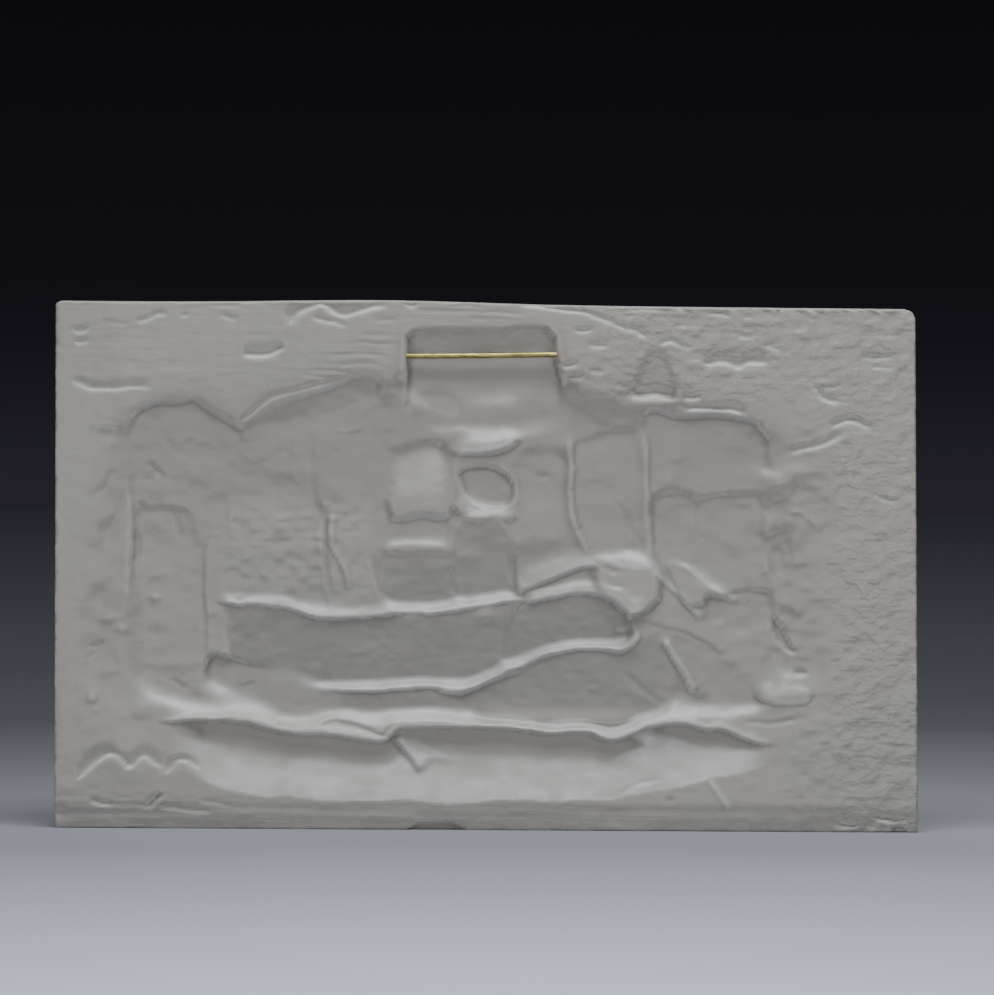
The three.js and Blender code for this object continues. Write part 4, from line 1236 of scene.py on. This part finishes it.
    def carve_bottom_border(self) -> None:
        """The jagged edge at the lower left, chips along the underside and scraped lines."""
        f = self.back
        # the slope under the jagged edge gets painted light
        f.trough([(-218, 24), (-211, 29), (-206, 33), (-200, 37.5), (-196, 36.5), (-191, 32), (-188, 31.5),
                  (-184, 35.5), (-181, 36), (-176, 33), (-171, 30.5)],
                 [(-218, 30), (-211, 42), (-205, 46), (-199, 47.5), (-195, 43), (-190, 41), (-186, 43.5),
                  (-182, 47), (-178, 47), (-174, 44), (-171, 42)], 1.5, 0.2, 10.0, 9.0, 3.0)
        # painted shade: darker at the lower left, below the jagged edge
        f.mark(f.low_painted_shade, [(-226, 4), (-219, 23), (-211, 28.5), (-206, 32.5), (-200, 37), (-191, 31.5),
                         (-184, 35), (-176, 32.5), (-169.5, 29), (-164, 34.5), (-159, 34), (-152, 29),
                         (-140, 22), (-128, 18), (-100, 15), (-100, 4)], 0.85, 1.0)
        # each chip's edge gets painted light
        for line, depth, edge, reach in (
            ([(-172, 30.5), (-169.5, 29), (-167, 31.5), (-164, 35), (-159, 34.5), (-152, 30)],
             1.2, 1.5, 4.0),
            ([(-211, 14), (-205, 12), (-197, 12)], 0.9, 1.3, 3.0),
            ([(205, 6.5), (215, 4.6), (223, 5.2)], 1.4, 1.4, 3.0),
            ([(186, 2.5), (192, 1.6), (197, 2.2)], 1.0, 1.2, 2.5),
            ([(-172, 9.6), (-158, 9.2), (-144, 8.2)], 0.45, 1.0, 2.0),
            ([(-152, 14.5), (-142, 12.8), (-134, 11.5)], 0.35, 1.0, 2.0),
        ):
            f.scoop(line, depth, edge, reach)
        f.cut([(-181.5, 10.5), (-178, 13.5), (-172, 18.5)], 1.3, 1.8, 0.6)
        f.crest([(119, 28), (124, 20), (129, 11.5)], 0.6, 3.0, 3.0)
        # painted light on the small ridge at the lower right
        f.mark(f.painted_light, [(116.8, 28.6), (121.8, 28), (126.9, 20), (131.6, 12), (127, 11.6), (121.5, 20)],
               0.7, 2.6)
        leaning = np.clip((self.foot_lean_below - f.z) / self.foot_lean_over, 0, 1)
        f.depth += self.foot_lean * leaning ** 1.2
        f.level([(-41, -2), (-37, 4), (-27, 4.8), (-17, 4.2), (-11, -2)], 2.6, 1.6, relative=True)
        f.level([(213, -2), (215, 3.4), (220, 3.4), (223, -2)], 1.6, 1.6, relative=True)
        f.lump(-226, 8, 5, 4, -1.3)
        f.lump(97, 16.6, 2.4, 1.2, -0.8)

    def roughen(self) -> None:
        """Brush marks, stipple and scraping, each kept to its own part of the surface."""
        f = self.back
        x, z = f.even_x, f.even_z
        open_hollow = ease(f.smoothed(3) / 3.0)
        border = 1 - open_hollow
        top = ease((z - 225) / 20) * border
        right = ease((x - 150) / 25) * border
        left = ease((-178 - x) / 20) * border
        bottom = ease((26 - z) / 10) * border
        scaly = ease((x - 30) / 40) * top
        stroked = top * (1 - ease((x - 10) / 60))
        middle = open_hollow * ease((z - 118) / 6) * ease((182 - z) / 20) * ease((x + 140) / 6)
        rough = middle * ease((-56 - x) / 14)
        far_right = open_hollow * ease((x - 128) / 20) * ease((215 - z) / 15)
        for size_x, size_z, height, seed, mask, ridged in (
            (26, 2.2, 0.10, 11, stroked, False),
            (48, 5.0, 0.16, 12, stroked, False),
            (14, 2.4, 0.12, 13, stroked, True),
            (7, 4.6, 0.34, 21, scaly * (1 - 0.6 * ease((x - 150) / 30)), True),
            (4.5, 3.4, 0.22, 22, scaly, False),
            (6.0, 5.0, 0.38, 31, right, False),
            (3.4, 3.2, 0.22, 32, right, True),
            (13, 9, 0.26, 33, right, False),
            (3.2, 46, 0.24, 41, left * ease((z - 40) / 30), False),
            (9, 30, 0.22, 42, left, False),
            (60, 1.8, 0.22, 51, bottom * ease((110 - x) / 40), False),
            (120, 3.5, 0.25, 52, bottom, False),
            (4.4, 4.0, 0.34, 61, rough, False),
            (9, 5, 0.36, 62, rough, True),
            (11, 9, 0.40, 71, open_hollow * ease((z - 130) / 20), False),
            (5, 5, 0.16, 72, open_hollow * ease((z - 60) / 10), False),
            (28, 18, 0.5, 73, open_hollow, False),
            (14, 7, 0.16, 74, ease((60 - z) / 10), False),
            (5.5, 4.5, 0.5, 81, far_right, False),
            (2.8, 2.6, 0.10, 91, 1.0, False),
        ):
            f.grain(size_x, size_z, height, seed, mask, ridged)

    def on_outline(self, x: Array, z: Array) -> tuple[Array, Array]:
        """Moves points from the even rectangle to the panel's uneven outline, corner by corner.

        The width is blended from the bottom to the top edge, the top corners are rounded by a
        quarter circle, the right side is a little lower, and a bell-shaped swell lifts the top.

        Args:
            x: places across the rectangle.
            z: places up the rectangle.

        Returns:
            The places across and up on the panel.
        """
        across = (x + self.width / 2) / self.width
        up = z / self.height

        def rounding(radius: float) -> Array:
            """How far a rounded corner draws the side in at each height."""
            into = np.clip(z - (self.height - radius), 0, radius)
            return radius - np.sqrt(np.maximum(0, radius**2 - into**2))
        left = -self.width / 2 - self.top_left_out * up + rounding(self.left_corner)
        right = self.width / 2 - self.top_right_in * up - rounding(self.right_corner)
        moved_x = left + (right - left) * across + self.top_left_out / 2
        swell = self.top_swell * np.exp(-(((x - self.top_swell_middle) / self.top_swell_half) ** 2))
        rise = ease((z - self.top_swell_from) / (self.height - self.top_swell_from))
        moved_z = z - self.right_side_lower * across * up + swell * rise
        return moved_x, moved_z

    def front_depth(self, x: Array, z: Array, large: Array) -> Array:
        """How far the front's surface lies behind its border.

        Inside the bevelled border the field is sunk, and it rises by a share of the smoothed depth
        of the back, as plaster laid in a shell does.

        Args:
            x: places across.
            z: places up.
            large: smoothed depth of the back at those places.

        Returns:
            Depth behind the plane of the front border.
        """
        from_edge = np.minimum(np.minimum(self.width / 2 - np.abs(x), z), self.height - z)
        inner = ease((from_edge - self.border_width) / self.border_bevel)
        sunk = np.maximum(1.0, self.field_sunk - self.relief_share * large)
        soft = 0.35 * value_noise(x, z, 23, 17, 301) + 0.15 * value_noise(x, z, 9, 8, 302)
        return inner * (sunk + soft) + 0.12 * (1 + value_noise(x, z, 31, 24, 303))

    def solid(self, large: Array) -> bpy.types.Object:
        """Closes the worked back with a rounded rim and the front, and makes the painted object.

        Args:
            large: the smoothed large forms of the back.

        Returns:
            The panel's object, with its painted layers.
        """
        f = self.back
        step = self.front_step
        depth = np.maximum(f.depth + self.lie, 0.0)
        back_y = -self.thickness / 2
        front_y = self.thickness / 2
        inset_x, inset_z = self.inset(f.even_x, f.even_z, 1.0)
        back = np.stack([inset_x, back_y + depth, inset_z], axis=-1)
        coarse = (slice(None, None, step), slice(None, None, step))
        front_surface = front_y - self.front_depth(f.even_x[coarse], f.even_z[coarse], large[coarse])
        wall = back_y + f.depth[coarse] + self.least_wall
        front = np.stack([inset_x[coarse], np.maximum(front_surface, wall), inset_z[coarse]], axis=-1)

        count_back = back[..., 0].size
        numbers = np.arange(count_back).reshape(f.even_x.shape)
        front_numbers = count_back + np.arange(front[..., 0].size).reshape(front.shape[:2])
        loop = self.around(numbers)
        front_loop = self.around(front_numbers)
        ring_x, ring_z = self.around(f.even_x), self.around(f.even_z)
        rings, ring_numbers = self.rim(ring_x, ring_z, self.around(back[..., 1]), front_y,
                                       count_back + front[..., 0].size)
        quads = [grid_quads(numbers), grid_quads(front_numbers)[:, ::-1]]
        chain = [loop, *ring_numbers]
        for first, second in zip(chain[:-1], chain[1:]):
            quads.append(np.stack([np.roll(first, -1), first, second, np.roll(second, -1)], axis=-1))
        last = chain[-1]
        fine = [np.roll(last, -k)[::step] for k in range(step + 1)]
        after = np.roll(front_loop, -1)
        triangles = np.concatenate([
            np.stack([fine[1], fine[0], front_loop], axis=-1),
            np.stack([fine[1], front_loop, after], axis=-1),
            *[np.stack([fine[k + 1], fine[k], after], axis=-1) for k in range(1, step)],
        ])
        vertices = np.concatenate([back.reshape(-1, 3), front.reshape(-1, 3), rings.reshape(-1, 3)]) * MM
        thing = closed_mesh("plaster_relief", vertices, np.concatenate(quads), triangles)
        self.paint_layers(thing)
        return thing

    def paint_layers(self, thing: bpy.types.Object) -> None:
        """Stores what the plaster's colour varies by: creases, undersides, painted light and painted shade.

        Args:
            thing: the panel's object.
        """
        f = self.back
        x, z = f.even_x, f.even_z
        lit = ease((np.gradient(f.smoothed(3), f.zs, axis=0) - 0.06) / 0.36)
        uneven = 0.76 + 0.28 * value_noise(x, z, 9, 5, 311) + 0.22 * value_noise(x, z, 27, 12, 312)
        # the band hollows and the bottom and left edges, painted darker as shade
        middle = ease((f.z - 62) / 6) * ease((151 - f.z) / 8) * ease((f.x + 138) / 6) * ease((98 - f.x) / 8)
        edge_painted_shade = ease((24 - f.z) / 12) * (1 - 0.5 * ease(f.x / 160)) + 0.4 * ease((-192 - f.x) / 12)
        rough = (ease((f.x + 138) / 6) * ease((-58 - f.x) / 6) * ease((f.z - 122) / 8)
                 * ease((182 - f.z) / 10))
        hollow = ease(f.smoothed(6) / 3.5) * ease((f.z - 60) / 6) * ease((246 - f.z) / 8)
        upper = ease((z - 222) / 12)
        for name, values in (
            ("crease", np.clip((f.depth - f.smoothed(2)) / 0.8, -1, 1)),
            ("patina", ease(f.smoothed(6) / 2.4) * ease((z - 130) / 80)),
            ("facing", np.clip(np.gradient(f.depth, f.zs, axis=0) / 0.6, -1, 1)),
            # painted light: lighter where the surface faces up and where the carving marked it
            ("painted_light_mix", np.clip(np.maximum(0.85 * lit, f.painted_light) * uneven, 0, 1)),
            ("brush", ease((z - 232) / 12) * (1 - ease((x - 10) / 60)) + ease((22 - z) / 8)),
            # painted shade in the open hollows
            ("sunk", hollow * (1 - rough)),
            # painted shade towards the bottom and left edges and in the band hollows, less where light is
            # painted
            ("painted_shade", np.maximum(edge_painted_shade, f.low_painted_shade) * (1 - f.painted_light)
             + 0.9 * ease((f.smoothed(3) - 3.2) / 2.0) * middle),
            ("stipple", upper * ease((x - 30) / 50) + ease((x - 176) / 16) * (1 - upper)),
        ):
            self.paint(thing, name, values)

    @staticmethod
    def paint(thing: bpy.types.Object, name: str, values: Array) -> None:
        """Stores a value for each vertex of the back, and 0 for the rest.

        Args:
            thing: the panel's object.
            name: the attribute's name.
            values: one value for each point of the back's grid.
        """
        every = np.zeros(len(thing.data.vertices), np.float32)
        every[:values.size] = values.ravel()
        attribute = thing.data.attributes.new(name, "FLOAT", "POINT")
        attribute.data.foreach_set("value", every)

    def inset(self, x: Array, z: Array, share: float) -> tuple[Array, Array]:
        """Draws points near the edge of the rectangle inwards by the edge's rounding.

        The shift is the rounding times the square of one minus the share of the reach passed.

        Args:
            x: places across the rectangle.
            z: places up the rectangle.
            share: how much of the rounding to draw in.

        Returns:
            The places across and up on the panel.
        """
        px, pz = self.on_outline(x, z)
        worn = self.wear(x, z) * share
        half = self.width / 2

        def pull(distance: Array) -> Array:
            """Share of the shift at a distance from the edge."""
            return np.clip(1 - distance / self.edge_reach, 0, 1) ** 2
        px = px + worn * (pull(x + half) - pull(half - x))
        pz = pz + worn * (0.6 * pull(z) - pull(self.height - z))
        return px, pz

    def wear(self, x: Array, z: Array) -> Array:
        """Rounding of the edge at each place: the mean rounding, more or less by smooth noise."""
        uneven = 0.55 * value_noise(x + 3 * z, z - x, 9, 9, 401) + 0.35 * value_noise(x, z + x, 4, 4, 402)
        return self.edge_round * np.clip(1 + uneven, 0.35, 1.9)

    @staticmethod
    def around(values: Array) -> Array:
        """Values along the grid's edge: bottom, right side, top, left side, without repeats."""
        return np.concatenate([values[0, :-1], values[:-1, -1], values[-1, :0:-1], values[:0:-1, 0]])

    def rim(self, x: Array, z: Array, start_y: Array, front_y: float,
            first: int) -> tuple[Array, list[Array]]:
        """The rings of vertices over the panel's edge, from the back round to the front.

        Each ring is the outline drawn in by a share of the edge's rounding, at its own height, with
        a slight unevenness that only ever cuts inwards.

        Args:
            x: places across the rectangle, along its edge.
            z: places up the rectangle, along its edge.
            start_y: height of the back's own edge.
            front_y: height of the front border.
            first: number of the first new vertex.

        Returns:
            The rings' vertices, and the vertex numbers of each ring.
        """
        worn = self.wear(x, z)
        back_y = -self.thickness / 2
        stations = [(0.3, start_y + 0.3 * worn), (0.0, start_y + worn)]
        for k in range(1, self.rim_rows + 1):
            share = k / (self.rim_rows + 1)
            stations.append((0.0, np.full_like(worn, back_y + (front_y - back_y) * share)))
        stations += [(0.0, front_y - worn), (0.3, front_y - 0.3 * worn)]
        half = self.width / 2
        rings = []
        for number, (share, y) in enumerate(stations):
            px, pz = self.inset(x, z, share)
            on_side = 2 <= number < len(stations) - 2
            dent = self.dent * (1 + value_noise(x + z, y + self.thickness, 17, 7, 403)) * on_side
            px = px + np.where(np.isclose(x, -half), dent, 0) - np.where(np.isclose(x, half), dent, 0)
            pz = pz - np.where(np.isclose(z, self.height), dent, 0)
            rings.append(np.stack([px, y, pz], axis=-1))
        numbers = [first + k * len(x) + np.arange(len(x)) for k in range(len(rings))]
        return np.stack(rings), numbers


@dataclass
class HangingBar:
    """The thin brass bar across the recess, in millimetres."""

    diameter: float = 3.2
    bend: float = 0.35
    around: int = 28
    steps: int = 120

    def build(self) -> bpy.types.Object:
        """Makes the bar inside its own box: a circle carried along a very slightly bowed line.

        Returns:
            The bar's object.
        """
        low, high = (np.array(corner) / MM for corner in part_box("hanging_bar"))
        rise = (high[2] - low[2]) - self.diameter
        t = np.linspace(0.0, 1.0, self.steps + 1)
        radius = (self.diameter / 2 - self.bend / 2) * np.ones_like(t)
        chamfer = 0.35 * (ease((0.006 - t) / 0.006) + ease((t - 0.994) / 0.006))
        radius = radius - chamfer + 0.03 * value_noise(t * 100, np.zeros_like(t), 5, 5, 501)
        centre_x = low[0] + (high[0] - low[0]) * t
        bow = self.bend / 2 * np.sin(math.pi * t)
        centre_z = low[2] + self.diameter / 2 + rise * t - bow
        centre_y = (low[1] + high[1]) / 2
        angle = np.linspace(0, 2 * math.pi, self.around, endpoint=False)
        y = centre_y + radius[:, None] * np.cos(angle)
        z = centre_z[:, None] + radius[:, None] * np.sin(angle)
        x = np.repeat(centre_x[:, None], self.around, axis=1)
        rings = np.stack([x, y, z], axis=-1).reshape(-1, 3)
        ends = np.array([[centre_x[0], centre_y, centre_z[0]], [centre_x[-1], centre_y, centre_z[-1]]])
        numbers = np.arange(len(rings)).reshape(len(t), self.around)
        wrapped = np.concatenate([numbers, numbers[:, :1]], axis=1)
        caps = []
        for ring, tip, turn in ((numbers[0], len(rings), 1), (numbers[-1], len(rings) + 1, -1)):
            fan = np.stack([ring, np.roll(ring, -1), np.full(self.around, tip)], axis=-1)
            caps.append(fan[:, ::turn])
        return closed_mesh("brass_hanging_bar", np.concatenate([rings, ends]) * MM,
                           grid_quads(wrapped)[:, ::-1], np.concatenate(caps)[:, ::-1])


class LightRole(Enum):
    """What each lamp of the studio is for: place, aim, width, depth, power and colour."""

    OVERHEAD = ((0.20, -0.86, 1.92), (0.02, -0.06, 0.12), 2.2, 1.1, 54.0, (0.95, 0.98, 1.0))
    FILL = ((-0.2, -2.4, 0.28), (0.0, 0.0, 0.14), 2.6, 0.5, 15.5, (1.0, 0.975, 0.945))
    BEHIND = ((0.2, 1.1, 0.95), (0.0, 0.0, 0.14), 1.3, 0.6, 4.0, (1.0, 0.99, 0.97))


@dataclass
class Studio:
    """Floor, lamps and camera."""

    floor_radius: float = 60.0
    camera_distance: float = 2.3
    frame_width: float = 0.5262
    camera_height: float = 0.1762
    camera_aside: float = 0.0052
    roll_degrees: float = -0.33
    sensor: float = 36.0

    def build(self) -> None:
        """Sets up everything that isn't the object."""
        self.floor()
        for role in LightRole:
            self.lamp(role)
        self.camera()
        bpy.context.scene.world = StudioAir().world()

    def floor(self) -> None:
        """A plain round floor under the panel."""
        bpy.ops.mesh.primitive_circle_add(vertices=96, radius=self.floor_radius, fill_type="NGON")
        floor = bpy.context.object
        floor.name = "floor"
        floor.data.materials.append(FloorPaintedLight().material())

    @staticmethod
    def lamp(role: LightRole) -> None:
        """Adds one soft rectangular lamp.

        Args:
            role: which lamp.
        """
        place, aim, width, depth, power, colour = role.value
        light = bpy.data.lights.new(role.name.lower(), "AREA")
        light.shape = "RECTANGLE"
        light.size = width
        light.size_y = depth
        light.energy = power
        light.color = colour
        lamp = bpy.data.objects.new(role.name.lower(), light)
        bpy.context.scene.collection.objects.link(lamp)
        lamp.location = place
        towards = np.array(aim) - np.array(place)
        lamp.rotation_mode = "QUATERNION"
        lamp.rotation_quaternion = Vector(towards).to_track_quat("-Z", "Y")

    def camera(self) -> None:
        """A long level lens square to the back, turned by the photograph's slight roll."""
        data = bpy.data.cameras.new("camera")
        data.sensor_width = self.sensor
        data.lens = self.sensor * self.camera_distance / self.frame_width
        data.clip_end = 200.0
        camera = bpy.data.objects.new("camera", data)
        bpy.context.scene.collection.objects.link(camera)
        back_plane = CAD_BOUNDS[0][1]
        camera.location = (self.camera_aside, back_plane - self.camera_distance, self.camera_height)
        camera.rotation_euler = (math.pi / 2, math.radians(self.roll_degrees), 0.0)
        bpy.context.scene.camera = camera


def dress(piece: bpy.types.Object, material: bpy.types.Material, node: str) -> None:
    """Gives a piece its material, its body and the node that it stands for.

    Args:
        piece: the finished piece.
        material: its material.
        node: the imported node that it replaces.
    """
    piece.data.materials.clear()
    piece.data.materials.append(material)
    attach(piece, "root")
    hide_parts(node)
    log.info("%s: %d faces", piece.name, len(piece.data.polygons))


def main() -> None:
    """Builds the panel, the bar and the studio."""
    logging.basicConfig(level=logging.INFO, format="%(name)s: %(message)s")
    dress(ReliefPanel().build(), PlasterAndPaintedLight().material(), "relief_panel")
    dress(HangingBar().build(), BrassFinish().material(), "hanging_bar")
    Studio().build()


if __name__ == "__main__":
    main()
